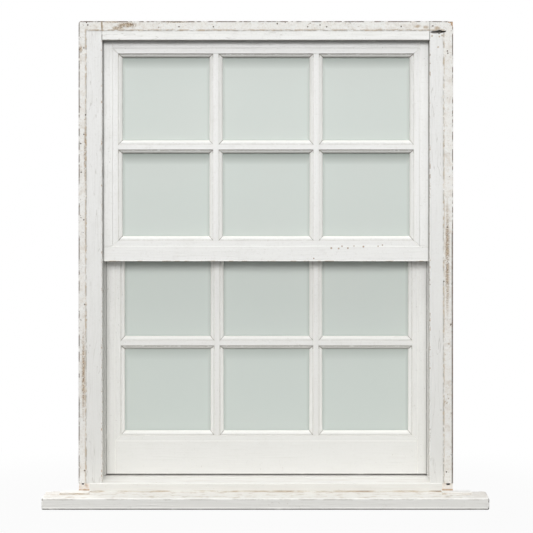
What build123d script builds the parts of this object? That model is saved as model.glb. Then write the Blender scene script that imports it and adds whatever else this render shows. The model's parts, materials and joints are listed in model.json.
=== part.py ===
from build123d import *
import os

# Sliding sash window seen from outside: X to the right, Y into the room, Z up, in millimetres.
# Y is 0 on the outer face of the outside linings, Z is 0 on the underside of the sills.

# Frame
FRAME_HALF = 425
FRAME_TOP = 1100
LINING_WIDTH = 53
LINING_THICKNESS = 22
LINING_ARRIS = 2
HEAD_LINING_EDGE = 1057
INSIDE_LINING_FACE = 130
JAMB_FACE = 383
JAMB_BACK = 112
HEAD_SOFFIT = 1067
HOUSING_DEPTH = 6
PARTING_BEAD = (64, 72)
BEAD_PROJECTION = 11
BEAD_TONGUE = 8
STAFF_BEAD_FRONT = 114
STAFF_ROUND = 7

# Damage to the outside linings, as outlines in X and Z and how deep they go
GASH = [(373.5, 1076), (384, 1076.7), (391.5, 1079.6), (396, 1080), (402, 1077.4), (410.5, 1078),
        (407.5, 1074.8), (398, 1072.8), (392.6, 1070.5), (389.6, 1073.5), (386, 1074.6), (376, 1074)]
GASH_DEPTH = 9
SPLIT_CORNER = [(426, 1086), (421.5, 1090), (420, 1094.5), (415, 1097), (413, 1101), (426, 1101)]
SPLIT_DEPTH = 6
WORN_CORNER = 6

# Sills
SILL_FRONT = -2
SILL_NOSE_TOP = 51
SILL_SLOPE = 0.105
SILL_UPSTAND = 66
SILL_NOTCH_AT = 400
SILL_NOTCH_DEPTH = 6
SUBSILL_HALF = 500
SUBSILL_END_ROUND = 4
SUBSILL_FRONT = -62
SUBSILL_NOSE = 25.5
SUBSILL_BACK = 32.5
SUBSILL_TONGUE = (10, 20)
SUBSILL_TONGUE_LENGTH = 9
DRIP_RADIUS = 3
DRIP_INSET = 13
STOOL_SPAN = (398, 464)
STOOL_DEPTH = 25
STOOL_TOP = 35

# Pockets broken out of the sill under the outside linings: where in X, and their floors
POCKETS = [((-418, -413.5), 47), ((410, 418.5), 46.5)]

# Sashes
SASH_HALF = 381.5
SASH_THICKNESS = 40
STILE_TO_SIGHT = 53
BAR_NOSE = 12
CROSS_NOSE = 11.5
PANE_HEIGHT = 189.5
SIDE_LIP = 9.5
TOP_LIP = 7.5
BOTTOM_LIP = 11
FASCIA = 12.5
FASCIA_SINK = 1
REBATE = 18
GLASS_THICKNESS = 4
GLASS_PLAY = 2
MOULD_FILLET = 2
MOULD_QUIRK = 2.5
BEAD_QUIRK = (2, 5.5)
BEAD_CROWN = 3.2
BEAD_SIGHT_EDGE = 12
BEAD_SWELL = 0.165
MITRE_GAP = 0.6
TENON = (13, 25)
TENON_LENGTH = 12
LIP_HALF = 369.5
RAIL_GAP = 1.4

UPPER_FACE = 23
UPPER_BOTTOM = 555
UPPER_TOP = 1065
UPPER_SIGHT = 613
LOWER_FACE = 73
LOWER_BOTTOM = 61
LOWER_TOP = 613
LOWER_SIGHT = 162.5

# Spiral spring balances
TRAVEL = 380
GROOVE = 18
TUBE_RADIUS = 8
TUBE_WALL = 0.8
TUBE_AXIS = 374.5
TUBE_TOP = 1060
UPPER_TUBE_FOOT = 610
LOWER_TUBE_FOOT = 490
STRIP = (6.5, 1.6)
STRIP_LEAD = 90
STRIP_STEPS = 12
BUSH_RADIUS = 6.85
BUSH_LENGTH = 14
BUSH_JAW = 2
BUSH_SLOT = (7.2, 2.8)
FOOT_RISE = 4
FOOT_PLATE = 3
FOOT_HEIGHT = 24
SCREW_RADIUS = 2

# Fixings through the jambs
FIXING_RADIUS = 3.25
FIXING_Y = 43
FIXING_HEIGHTS = (150, 450)

# Fastener and lifts
PIVOT_Y = 92
PIN_RADIUS = 3.5
HUB_RADIUS = 9
TONGUE_REACH = 35
HANDLE_REACH = 33
LIFT_X = 190
LIFT_WIDTH = 40
LIFT_BASE = 88
LIFT_PLATE = (2.5, 42)
LIFT_CURL = (12.5, 9.5)

LINING_EDGE = FRAME_HALF - LINING_WIDTH
BEAD_EDGE = JAMB_FACE - BEAD_PROJECTION
SIGHT_HALF = SASH_HALF - STILE_TO_SIGHT
BAR_WIDTH = BAR_NOSE + 2 * SIDE_LIP
CROSS_HEIGHT = TOP_LIP + CROSS_NOSE + BOTTOM_LIP
PANE_WIDTH = (2 * SIGHT_HALF - 2 * BAR_WIDTH) / 3
PANE_LEFTS = [-SIGHT_HALF + step * (PANE_WIDTH + BAR_WIDTH) for step in range(3)]
COLUMNS = [(left, left + PANE_WIDTH) for left in PANE_LEFTS]


def block(x_range, y_range, z_range):
    ranges = (x_range, y_range, z_range)
    middle = [(start + end) / 2 for start, end in ranges]
    sizes = [end - start for start, end in ranges]
    return Pos(*middle) * Box(*sizes)


def prism(outline, y_range):
    """Solid with an outline in X and Z that runs from one Y to another."""
    face = Plane.XZ.offset(-y_range[0]) * make_face(Polyline(*outline, close=True))
    return extrude(face, amount=y_range[1] - y_range[0], dir=(0, 1, 0))


def run_along_x(section, x_range):
    """Solid with a section in Y and Z that runs from one X to another."""
    face = Plane.YZ.offset(x_range[0]) * section
    return extrude(face, amount=x_range[1] - x_range[0], dir=(1, 0, 0))


def run_along_z(section, z_range):
    """Solid with a section in X and Y that runs from one Z to another."""
    return extrude(Pos(0, 0, z_range[0]) * section, amount=z_range[1] - z_range[0], dir=(0, 0, 1))


def polygon(*points):
    return make_face(Polyline(*points, close=True))


def rod_along(direction, start, radius, length):
    plane = Plane(origin=start, z_dir=direction)
    return extrude(plane * Circle(radius), amount=length)


def both_sides(shape):
    return [shape, mirror(shape, about=Plane.YZ)]


def group(solids):
    return Compound(children=list(solids))


def slope_at(y):
    return SILL_NOSE_TOP + (y - SILL_FRONT) * SILL_SLOPE


def below_slope():
    """Everything under the weathered top of the sill, for scribing what stands on it."""
    front, back = SUBSILL_FRONT, INSIDE_LINING_FACE
    section = polygon((front, -1), (back, -1), (back, slope_at(back)), (front, slope_at(front)))
    return run_along_x(section, (-FRAME_HALF - 1, FRAME_HALF + 1))


def sill():
    section = polygon(
        (SILL_FRONT, 0),
        (INSIDE_LINING_FACE, 0),
        (INSIDE_LINING_FACE, SILL_UPSTAND),
        (STAFF_BEAD_FRONT, SILL_UPSTAND),
        (STAFF_BEAD_FRONT, slope_at(STAFF_BEAD_FRONT)),
        (SILL_FRONT, SILL_NOSE_TOP),
    )
    nose = section.vertices().sort_by(Axis.X)[:2].sort_by(Axis.Y)[-1]
    solid = run_along_x(fillet(nose, LINING_ARRIS), (-FRAME_HALF, FRAME_HALF))
    groove = (SILL_FRONT, SILL_FRONT + SUBSILL_TONGUE_LENGTH)
    solid -= block((-SILL_NOTCH_AT, SILL_NOTCH_AT), groove, SUBSILL_TONGUE)
    end = (SILL_NOTCH_AT, FRAME_HALF + 1)
    notch_back = SILL_FRONT + SILL_NOTCH_DEPTH
    cuts = both_sides(block(end, (SILL_FRONT - 1, notch_back), (SUBSILL_BACK, FRAME_TOP)))
    cuts += [block(span, (SILL_FRONT - 1, LINING_THICKNESS), (floor, FRAME_TOP)) for span, floor in POCKETS]
    jamb_foot = slope_at(LINING_THICKNESS) - HOUSING_DEPTH
    housing = block((JAMB_FACE, FRAME_HALF + 1), (LINING_THICKNESS, JAMB_BACK), (jamb_foot, FRAME_TOP))
    seat = block((JAMB_FACE, FRAME_HALF + 1), (JAMB_BACK, STAFF_BEAD_FRONT), (jamb_foot, FRAME_TOP))
    for cut in cuts + both_sides(housing) + both_sides(seat):
        solid -= cut
    return solid


def sub_sill():
    slope = (SUBSILL_BACK - SUBSILL_NOSE) / (SILL_FRONT - SUBSILL_FRONT)
    section = polygon(
        (SUBSILL_FRONT, 0), (SILL_FRONT, 0), (SILL_FRONT, SUBSILL_BACK), (SUBSILL_FRONT, SUBSILL_NOSE)
    )
    section = fillet(section.vertices().sort_by(Axis.X)[:2], LINING_ARRIS * 1.5)
    solid = run_along_x(section, (-SUBSILL_HALF, SUBSILL_HALF))
    lower_ends = solid.edges().filter_by(Axis.Y).sort_by(Axis.Z)[:2]
    solid = fillet(lower_ends, SUBSILL_END_ROUND)
    drip = (-SILL_NOTCH_AT, SUBSILL_FRONT + DRIP_INSET, 0)
    solid -= rod_along((1, 0, 0), drip, DRIP_RADIUS, 2 * SILL_NOTCH_AT)
    tongue = (SILL_FRONT, SILL_FRONT + SUBSILL_TONGUE_LENGTH)
    solid += block((-SILL_NOTCH_AT, SILL_NOTCH_AT), tongue, SUBSILL_TONGUE)
    stool_front = SILL_FRONT - STOOL_DEPTH
    stool = polygon(
        (SILL_FRONT, SUBSILL_BACK - 1),
        (SILL_FRONT, STOOL_TOP),
        (stool_front, STOOL_TOP - 1),
        (stool_front, SUBSILL_BACK - 1 - STOOL_DEPTH * slope),
    )
    for piece in both_sides(run_along_x(stool, STOOL_SPAN)):
        solid += piece
    return solid


def jamb():
    """The right jamb, grooved for the parting bead and bored for its fixings and balance screws."""
    foot = slope_at(LINING_THICKNESS) - HOUSING_DEPTH
    solid = block((JAMB_FACE, FRAME_HALF), (LINING_THICKNESS, JAMB_BACK), (foot, HEAD_SOFFIT + HOUSING_DEPTH))
    solid -= block((JAMB_FACE, JAMB_FACE + BEAD_TONGUE), PARTING_BEAD, (foot, FRAME_TOP))
    for height in FIXING_HEIGHTS:
        solid -= rod_along((1, 0, 0), (JAMB_FACE, FIXING_Y, height), FIXING_RADIUS, FRAME_HALF - JAMB_FACE)
    for y in TRACKS:
        solid -= rod_along((1, 0, 0), (JAMB_FACE, y, SCREW_HEIGHT), SCREW_RADIUS + 0.1, 18)
    return solid


def head():
    solid = block((-FRAME_HALF, FRAME_HALF), (LINING_THICKNESS, JAMB_BACK), (HEAD_SOFFIT, FRAME_TOP))
    housing = (HEAD_SOFFIT - 1, HEAD_SOFFIT + HOUSING_DEPTH)
    for cut in both_sides(block((JAMB_FACE, FRAME_HALF + 1), (0, FRAME_TOP), housing)):
        solid -= cut
    return solid - block((-JAMB_FACE, JAMB_FACE), PARTING_BEAD, (HEAD_SOFFIT - 1, HEAD_SOFFIT + BEAD_TONGUE))


def outside_lining():
    """The right outside lining, scribed to the weathered sill."""
    section = polygon((LINING_EDGE, 0), (FRAME_HALF, 0), (FRAME_HALF, LINING_THICKNESS),
                      (LINING_EDGE, LINING_THICKNESS))
    arris = section.vertices().sort_by(Axis.Y)[:2].sort_by(Axis.X)[0]
    return run_along_z(fillet(arris, LINING_ARRIS), (0, FRAME_TOP)) - below_slope()


def worn(lining):
    """The left outside lining with its top corner worn round."""
    across = lining.edges().filter_by(Axis.Y)
    return fillet(across.sort_by(Axis.Z)[-2:].sort_by(Axis.X)[0], WORN_CORNER)


def torn(lining):
    """The right outside lining with a gash level with the head and its top corner split off."""
    return lining - prism(GASH, (-1, GASH_DEPTH)) - prism(SPLIT_CORNER, (-1, SPLIT_DEPTH))


def head_outside_lining():
    section = polygon((0, HEAD_LINING_EDGE), (LINING_THICKNESS, HEAD_LINING_EDGE),
                      (LINING_THICKNESS, FRAME_TOP), (0, FRAME_TOP))
    arris = section.vertices().sort_by(Axis.X)[:2].sort_by(Axis.Y)[0]
    return run_along_x(fillet(arris, LINING_ARRIS), (-LINING_EDGE, LINING_EDGE))


def inside_lining():
    return block((JAMB_FACE, FRAME_HALF), (JAMB_BACK, INSIDE_LINING_FACE), (SILL_UPSTAND, FRAME_TOP))


def head_inside_lining():
    return block((-JAMB_FACE, JAMB_FACE), (JAMB_BACK, INSIDE_LINING_FACE), (HEAD_SOFFIT, FRAME_TOP))


def parting_bead_section(length):
    """Section of a parting bead across (0 at the tip of its tongue) and along Y, with eased nose arrises."""
    section = polygon((0, PARTING_BEAD[0]), (length, PARTING_BEAD[0]), (length, PARTING_BEAD[1]),
                      (0, PARTING_BEAD[1]))
    return fillet(section.vertices().sort_by(Axis.X)[-2:], LINING_ARRIS / 2)


def parting_bead():
    section = parting_bead_section(BEAD_PROJECTION + BEAD_TONGUE)
    plane = Plane(origin=(JAMB_FACE + BEAD_TONGUE, 0, HEAD_SOFFIT), x_dir=(-1, 0, 0), z_dir=(0, 0, -1))
    return extrude(plane * section, amount=HEAD_SOFFIT) - below_slope()


def head_parting_bead():
    section = parting_bead_section(BEAD_PROJECTION + BEAD_TONGUE)
    plane = Plane(origin=(-BEAD_EDGE, 0, HEAD_SOFFIT + BEAD_TONGUE), x_dir=(0, 0, -1), z_dir=(1, 0, 0))
    return extrude(plane * section, amount=2 * BEAD_EDGE)


def staff_bead_section():
    """Section of a staff bead: across from what carries it, and along Y with a rounded room side."""
    section = polygon((0, STAFF_BEAD_FRONT), (BEAD_PROJECTION, STAFF_BEAD_FRONT),
                      (BEAD_PROJECTION, INSIDE_LINING_FACE), (0, INSIDE_LINING_FACE))
    corner = section.vertices().sort_by(Axis.Y)[-2:].sort_by(Axis.X)[-1]
    return fillet(corner, STAFF_ROUND)


def staff_bead(origin, across, length, outline):
    return stick(staff_bead_section(), origin, across, length) & prism(
        outline, (STAFF_BEAD_FRONT, INSIDE_LINING_FACE)
    )


def staff_beads():
    """Four beads mitred round the room side, as left, right, head and sill."""
    low, high = SILL_UPSTAND, HEAD_SOFFIT
    inner_low, inner_high = low + BEAD_PROJECTION, high - BEAD_PROJECTION
    middle = (low + high) / 2
    side = [(JAMB_FACE, low), (JAMB_FACE, high), (BEAD_EDGE, inner_high), (BEAD_EDGE, inner_low)]
    top = [(-JAMB_FACE, high), (-BEAD_EDGE, inner_high), (BEAD_EDGE, inner_high), (JAMB_FACE, high)]
    foot = [(-JAMB_FACE, low), (JAMB_FACE, low), (BEAD_EDGE, inner_low), (-BEAD_EDGE, inner_low)]
    right = staff_bead((JAMB_FACE, 0, middle), (-1, 0, 0), high - low, side)
    return {
        "left_staff_bead": mirror(right, about=Plane.YZ),
        "right_staff_bead": right,
        "head_staff_bead": staff_bead((0, 0, high), (0, 0, -1), 2 * JAMB_FACE, top),
        "sill_staff_bead": staff_bead((0, 0, low), (0, 0, 1), 2 * JAMB_FACE, foot),
    }


def stick(section, origin, across, length):
    """A length of moulding: the section's first axis lies across, its second along Y."""
    plane = Plane(origin=origin, x_dir=across, z_dir=Vector(across).cross(Vector(0, 1, 0)))
    return extrude(plane * section, amount=length / 2, both=True)


def ovolo(quirk, sight):
    """The room-side ovolo between the quirk line and the sight line."""
    width = sight - quirk
    crown = SASH_THICKNESS - MOULD_QUIRK
    foot = REBATE + MOULD_FILLET
    return Bezier((quirk, crown), (quirk + 0.6 * width, crown), (sight, crown - 7), (sight, foot))


def member_section(sight, lip):
    """Stile or rail from its outer edge (0) to the sight line, with its rebate and its ovolo."""
    quirk = sight - lip
    flats = Polyline(
        (sight, REBATE + MOULD_FILLET), (sight, REBATE), (quirk, REBATE), (quirk, 0), (0, 0),
        (0, SASH_THICKNESS), (quirk, SASH_THICKNESS), (quirk, SASH_THICKNESS - MOULD_QUIRK),
    )
    return make_face(flats + ovolo(quirk, sight))


def square_section(sight, lip):
    """Rail with a rebate and a square room side, as a meeting rail has under the fastener."""
    quirk = sight - lip
    return polygon((0, 0), (quirk, 0), (quirk, REBATE), (sight, REBATE), (sight, SASH_THICKNESS),
                   (0, SASH_THICKNESS))


def bar_section(low_lip, nose, high_lip):
    """Glazing bar from one sight line (0) to the other, rebated on both sides."""
    total = low_lip + nose + high_lip
    crown = SASH_THICKNESS - MOULD_QUIRK
    foot = REBATE + MOULD_FILLET
    outside = Polyline(
        (total, foot), (total, REBATE), (low_lip + nose, REBATE), (low_lip + nose, FASCIA_SINK),
        (low_lip, FASCIA_SINK), (low_lip, REBATE), (0, REBATE), (0, foot),
    )
    rising = Bezier((0, foot), (0, crown - 7), (0.4 * low_lip, crown), (low_lip, crown))
    inside = Line((low_lip, crown), (low_lip + nose, crown))
    return make_face(outside + rising + inside + ovolo(low_lip + nose, total))


def glazing_bead_section(lip):
    """Planted bead on the glass: a quirk groove, then a round down to the sight line."""
    glass = REBATE - GLASS_THICKNESS
    groove, floor = BEAD_QUIRK
    crown, sight = (groove, BEAD_CROWN), (lip, BEAD_SIGHT_EDGE)
    flats = Polyline(sight, (lip, glass), (0, glass), (0, floor), (groove, floor), crown)
    width = (Vector(*sight) - Vector(*crown)).length
    return make_face(flats + SagittaArc(crown, sight, -BEAD_SWELL * width))


class SashPlan:
    """Where the lines of one sash lie, from its outer face, its edges and its lowest sight line."""

    def __init__(self, face, bottom, top, sight, square_foot):
        self.face = face
        self.bottom = bottom
        self.top = top
        self.square_foot = square_foot
        upper = sight + PANE_HEIGHT + CROSS_HEIGHT
        self.rows = [(sight, sight + PANE_HEIGHT), (upper, upper + PANE_HEIGHT)]
        self.low_quirk = sight - BOTTOM_LIP
        self.low_fascia = self.low_quirk - FASCIA
        self.high_sight = upper + PANE_HEIGHT
        self.high_quirk = self.high_sight + TOP_LIP
        self.high_fascia = self.high_quirk + FASCIA
        self.stile_quirk = SIGHT_HALF + SIDE_LIP
        self.stile_fascia = self.stile_quirk + FASCIA
        self.depth = (face, face + SASH_THICKNESS)
        self.middle = (bottom + top) / 2

    def at(self, *depths):
        return tuple(self.face + depth for depth in depths)

    def cut(self, solid, outline):
        """The stretch of a moulding inside an outline, with the sunk fascia taken off its face."""
        sunk = block((-self.stile_fascia, self.stile_fascia), self.at(-1, FASCIA_SINK),
                     (self.low_fascia, self.high_fascia))
        return (solid & prism(outline, self.depth)) - sunk


def stile(plan):
    """The right stile with mitred mouldings. It stands on a square-footed rail, or else runs past it."""
    outline = [(SASH_HALF, plan.low_fascia), (plan.stile_fascia, plan.low_fascia)]
    if not plan.square_foot:
        outline = [(SASH_HALF, plan.bottom), (plan.stile_fascia, plan.bottom)] + outline[1:]
    for low, high in plan.rows:
        outline += [(plan.stile_quirk, low - BOTTOM_LIP)]
        if plan.square_foot and low == plan.rows[0][0]:
            outline += [(plan.stile_quirk, low)]
        outline += [(SIGHT_HALF, low), (SIGHT_HALF, high), (plan.stile_quirk, high + TOP_LIP)]
    outline += [(plan.stile_fascia, plan.high_fascia), (plan.stile_fascia, plan.top), (SASH_HALF, plan.top)]
    raw = stick(member_section(STILE_TO_SIGHT, SIDE_LIP), (SASH_HALF, plan.face, plan.middle), (-1, 0, 0),
                plan.top - plan.bottom)
    solid = plan.cut(raw, outline)
    if plan.square_foot:
        solid += foot_tenon(plan)
    for span in tenon_spans(plan):
        solid -= side_tenon(plan, span)
    return solid - balance_groove(plan)


def balance_groove(plan):
    middle = SASH_THICKNESS / 2
    across = plan.at(middle - GROOVE / 2, middle + GROOVE / 2)
    return block((SASH_HALF - GROOVE, SASH_HALF), across, (plan.bottom - 1, plan.top + 1))


def tenon_spans(plan):
    """Heights of the tenons of the rails that stand between the stiles."""
    spans = [(plan.high_fascia + 4, plan.top - 5)]
    if not plan.square_foot:
        spans.append((plan.bottom + 14, plan.low_fascia - 10))
    return spans


def side_tenon(plan, span):
    return block((plan.stile_fascia, plan.stile_fascia + TENON_LENGTH), plan.at(*TENON), span)


def foot_tenon(plan):
    x_range = (plan.stile_fascia, plan.stile_fascia + TENON_LENGTH - 1)
    return block(x_range, plan.at(*TENON), (plan.low_fascia - 20, plan.low_fascia))


def bar_tenon(plan, z_range):
    left = COLUMNS[1][1] + SIDE_LIP
    return block((left + 2, left + BAR_NOSE - 2), plan.at(REBATE + 1, REBATE + 13), z_range)


def top_rail(plan):
    """The rail at the head of a sash, between the stiles, with stub tenons and mortises for the bars."""
    outline = [(plan.stile_fascia, plan.high_fascia), (plan.stile_fascia, plan.top),
               (-plan.stile_fascia, plan.top), (-plan.stile_fascia, plan.high_fascia)]
    for left, right in COLUMNS:
        outline += [(left - SIDE_LIP, plan.high_quirk), (left, plan.high_sight), (right, plan.high_sight),
                    (right + SIDE_LIP, plan.high_quirk)]
    raw = stick(member_section(plan.top - plan.high_sight, TOP_LIP), (0, plan.face, plan.top), (0, 0, -1),
                2 * SASH_HALF)
    solid = plan.cut(raw, outline)
    for tenon in both_sides(side_tenon(plan, tenon_spans(plan)[0])):
        solid += tenon
    for mortise in both_sides(bar_tenon(plan, (plan.high_quirk, plan.high_quirk + TENON_LENGTH))):
        solid -= mortise
    return solid


def bottom_rail(plan):
    """The rail at the foot of the lower sash, between the stiles."""
    low = plan.rows[0][0]
    outline = [(-plan.stile_fascia, plan.low_fascia), (-plan.stile_fascia, plan.bottom),
               (plan.stile_fascia, plan.bottom), (plan.stile_fascia, plan.low_fascia)]
    for left, right in reversed(COLUMNS):
        outline += [(right + SIDE_LIP, plan.low_quirk), (right, low), (left, low),
                    (left - SIDE_LIP, plan.low_quirk)]
    raw = stick(member_section(low - plan.bottom, BOTTOM_LIP), (0, plan.face, plan.bottom), (0, 0, 1),
                2 * SASH_HALF)
    solid = plan.cut(raw, outline)
    for tenon in both_sides(side_tenon(plan, tenon_spans(plan)[1])):
        solid += tenon
    for mortise in both_sides(bar_tenon(plan, (plan.low_quirk - TENON_LENGTH, plan.low_quirk))):
        solid -= mortise
    return solid


def meeting_foot(plan):
    """The through rail at the foot of the upper sash, square on the room side, with its bevelled lip."""
    low = plan.rows[0][0]
    outline = [(-SASH_HALF, plan.low_fascia), (-SASH_HALF, plan.bottom), (SASH_HALF, plan.bottom),
               (SASH_HALF, plan.low_fascia), (plan.stile_fascia, plan.low_fascia),
               (plan.stile_quirk, plan.low_quirk), (plan.stile_quirk, low), (-plan.stile_quirk, low),
               (-plan.stile_quirk, plan.low_quirk), (-plan.stile_fascia, plan.low_fascia)]
    raw = stick(square_section(low - plan.bottom, BOTTOM_LIP), (0, plan.face, plan.bottom), (0, 0, 1),
                2 * SASH_HALF)
    solid = plan.cut(raw, outline)
    for cut in both_sides(balance_groove(plan)) + both_sides(foot_tenon(plan)):
        solid -= cut
    for mortise in both_sides(bar_tenon(plan, (low - TENON_LENGTH, low))):
        solid -= mortise
    back = plan.face + SASH_THICKNESS
    lip = polygon((back, plan.bottom), (back + 8, plan.bottom), (back + 8, plan.bottom + 20),
                  (back + 2.5, low), (back, low))
    return solid + run_along_x(lip, (-LIP_HALF, LIP_HALF))


def meeting_lip(plan):
    """The bevelled lip on the top rail of the lower sash, parallel to the one that it meets."""
    upper_back = UPPER_FACE + SASH_THICKNESS
    slope = -5.5 / (UPPER_SIGHT - UPPER_BOTTOM - 20)
    tip = upper_back + 2.5 + RAIL_GAP
    foot = tip + slope * (plan.high_quirk - plan.top)

    def length(half, back):
        section = polygon((back, plan.high_quirk), (foot, plan.high_quirk), (tip, plan.top), (back, plan.top))
        return run_along_x(section, (-half, half))

    return length(LIP_HALF, plan.face) + length(plan.stile_fascia, plan.face + FASCIA_SINK)


def long_bar(plan):
    """The right long bar, from rail to rail, notched for the cross bars."""
    left, right = COLUMNS[1][1], COLUMNS[2][0]
    rising, falling = [], []
    for low, high in plan.rows:
        rising += [(right - SIDE_LIP, low - BOTTOM_LIP), (right, low), (right, high),
                   (right - SIDE_LIP, high + TOP_LIP)]
        falling += [(left + SIDE_LIP, low - BOTTOM_LIP), (left, low), (left, high),
                    (left + SIDE_LIP, high + TOP_LIP)]
    raw = stick(bar_section(SIDE_LIP, BAR_NOSE, SIDE_LIP), (left, plan.face, plan.middle), (1, 0, 0),
                plan.top - plan.bottom)
    solid = raw & prism(rising + falling[::-1], plan.depth)
    solid += bar_tenon(plan, (plan.high_quirk, plan.high_quirk + TENON_LENGTH))
    if plan.square_foot:
        low = plan.rows[0][0]
        across = (left - 1, right + 1)
        solid -= block(across, plan.at(REBATE, SASH_THICKNESS), (plan.bottom, low))
        return solid + bar_tenon(plan, (low - TENON_LENGTH, low))
    return solid + bar_tenon(plan, (plan.low_quirk - TENON_LENGTH, plan.low_quirk))


def cross_bars(plan):
    low, high = plan.rows[0][1], plan.rows[1][0]
    section = bar_section(TOP_LIP, CROSS_NOSE, BOTTOM_LIP)
    bars = []
    for left, right in COLUMNS:
        near, far = left - SIDE_LIP, right + SIDE_LIP
        outline = [(near, low + TOP_LIP), (left, low), (right, low), (far, low + TOP_LIP),
                   (far, high - BOTTOM_LIP), (right, high), (left, high), (near, high - BOTTOM_LIP)]
        raw = stick(section, ((left + right) / 2, plan.face, low), (0, 0, 1), far - near)
        bars.append(raw & prism(outline, plan.depth))
    return bars


def panes(plan):
    depth = plan.at(REBATE - GLASS_THICKNESS, REBATE)
    sheets = []
    for low, high in plan.rows:
        for left, right in COLUMNS:
            width = (left - SIDE_LIP + GLASS_PLAY, right + SIDE_LIP - GLASS_PLAY)
            sheets.append(block(width, depth, (low - BOTTOM_LIP + GLASS_PLAY, high + TOP_LIP - GLASS_PLAY)))
    return sheets


def glazing_beads(plan):
    """Four beads round the outside of each pane, with mitres that have opened a little."""
    beads = []
    for low, high in plan.rows:
        for left, right in COLUMNS:
            near, far = left - SIDE_LIP, right + SIDE_LIP
            foot, crown = low - BOTTOM_LIP, high + TOP_LIP
            x, z = (left + right) / 2, (low + high) / 2
            quirks = [(near, foot), (far, foot), (far, crown), (near, crown)]
            sights = [(left, low), (right, low), (right, high), (left, high)]
            sides = [
                (BOTTOM_LIP, (x, plan.face, foot), (0, 0, 1)),
                (SIDE_LIP, (far, plan.face, z), (-1, 0, 0)),
                (TOP_LIP, (x, plan.face, crown), (0, 0, -1)),
                (SIDE_LIP, (near, plan.face, z), (1, 0, 0)),
            ]
            for corner, (lip, origin, across) in enumerate(sides):
                after = (corner + 1) % len(sides)
                ends = [Vector(*quirks[corner]), Vector(*quirks[after])]
                play = (ends[1] - ends[0]).normalized() * MITRE_GAP / 2
                outline = [ends[0] + play, ends[1] - play, Vector(*sights[after]) - play,
                           Vector(*sights[corner]) + play]
                raw = stick(glazing_bead_section(lip), origin, across, crown - foot + BAR_WIDTH)
                beads.append(raw & prism(outline, plan.depth))
    return beads


def sash_timber(name, plan):
    right_stile, right_bar = stile(plan), long_bar(plan)
    return {
        f"{name}_left_stile": mirror(right_stile, about=Plane.YZ),
        f"{name}_right_stile": right_stile,
        f"{name}_left_bar": mirror(right_bar, about=Plane.YZ),
        f"{name}_right_bar": right_bar,
        f"{name}_cross_bars": group(cross_bars(plan)),
        f"{name}_panes": group(panes(plan)),
        f"{name}_glazing_beads": group(glazing_beads(plan)),
    }


def bevel_to_sill(solid):
    """Takes the foot of the lower sash off parallel to the sill."""
    rise = LOWER_BOTTOM - slope_at(LOWER_FACE)
    front, back = LOWER_FACE - 1, LOWER_FACE + SASH_THICKNESS + 1
    wedge = polygon((front, 0), (back, 0), (back, slope_at(back) + rise), (front, slope_at(front) + rise))
    return solid - run_along_x(wedge, (-FRAME_HALF, FRAME_HALF))


def balance(plan, tube_foot, turn):
    """One balance on the right: tube, plug, screw and spring on the jamb, strip and foot on the sash."""
    y = plan.face + SASH_THICKNESS / 2
    axis = Pos(TUBE_AXIS, y, 0)
    bore = TUBE_RADIUS - TUBE_WALL
    ring = Circle(TUBE_RADIUS) - Circle(bore)
    screw_start = (TUBE_AXIS - TUBE_RADIUS - 1, y, SCREW_HEIGHT)
    hole = rod_along((1, 0, 0), screw_start, SCREW_RADIUS + 0.1, 2 * TUBE_RADIUS + 2)
    tube = axis * run_along_z(ring, (tube_foot, TUBE_TOP)) - hole
    plug = axis * run_along_z(Circle(bore), (TUBE_TOP - 20, TUBE_TOP)) - hole
    spring_foot = tube_foot + BUSH_LENGTH + 1
    spring = axis * run_along_z(Circle(bore - 0.4) - Circle(bore - 2), (spring_foot, TUBE_TOP - 21))
    head_face = TUBE_AXIS - TUBE_RADIUS
    screw = rod_along((1, 0, 0), (head_face, y, SCREW_HEIGHT), SCREW_RADIUS, 2 * TUBE_RADIUS + 15)
    screw += rod_along((-1, 0, 0), (head_face, y, SCREW_HEIGHT), 2 * SCREW_RADIUS, 1.8)
    strip_foot = plan.bottom + FOOT_RISE + FOOT_PLATE
    strip_top = tube_foot + BUSH_LENGTH + 8 + (TRAVEL if plan.square_foot else 0)
    return {
        "tube": tube,
        "plug": plug,
        "spring": spring,
        "screw": screw,
        "strip": axis * twisted_strip(strip_foot, strip_top, turn),
        "bush": axis * bush(tube_foot, strip_foot, turn),
        "foot": balance_foot(plan, y),
    }


def twisted_strip(foot, top, turn):
    """Flat strip with a quick twist, ruled between sections a small turn apart."""
    steps = round((top - foot) / STRIP_LEAD * STRIP_STEPS)
    rise = (top - foot) / steps
    turn_step = turn * 360 * rise / STRIP_LEAD
    places = [Pos(0, 0, foot + step * rise) * Rot(0, 0, step * turn_step) for step in range(steps + 1)]
    sections = [place * Rectangle(*STRIP) for place in places]
    return loft(sections, ruled=True)


def bush(tube_foot, strip_foot, turn):
    """Nylon bush in the mouth of the tube, with jaws that the twisted strip turns as it passes."""
    body = run_along_z(Circle(BUSH_RADIUS) - Circle(BUSH_RADIUS - 2.2), (0, BUSH_LENGTH))
    jaw = run_along_z(Circle(BUSH_RADIUS) - Rectangle(*BUSH_SLOT), (0, BUSH_JAW))
    middle = tube_foot + BUSH_JAW / 2 - strip_foot
    return Pos(0, 0, tube_foot) * Rot(0, 0, turn * 360 * middle / STRIP_LEAD) * (body + jaw)


def balance_foot(plan, y):
    """Angle plate at the foot of the stile's groove that carries the strip."""
    back = SASH_HALF - GROOVE
    low = plan.bottom + FOOT_RISE
    width = (y - GROOVE / 2 + 1, y + GROOVE / 2 - 1)
    plate = block((back, SASH_HALF - 1), width, (low, low + FOOT_PLATE))
    leg = block((back, back + 2), width, (low, low + FOOT_HEIGHT))
    for height in (low + FOOT_HEIGHT - 6, low + FOOT_HEIGHT - 14):
        leg -= rod_along((1, 0, 0), (back, y, height), SCREW_RADIUS, 2)
    return plate + leg


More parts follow.
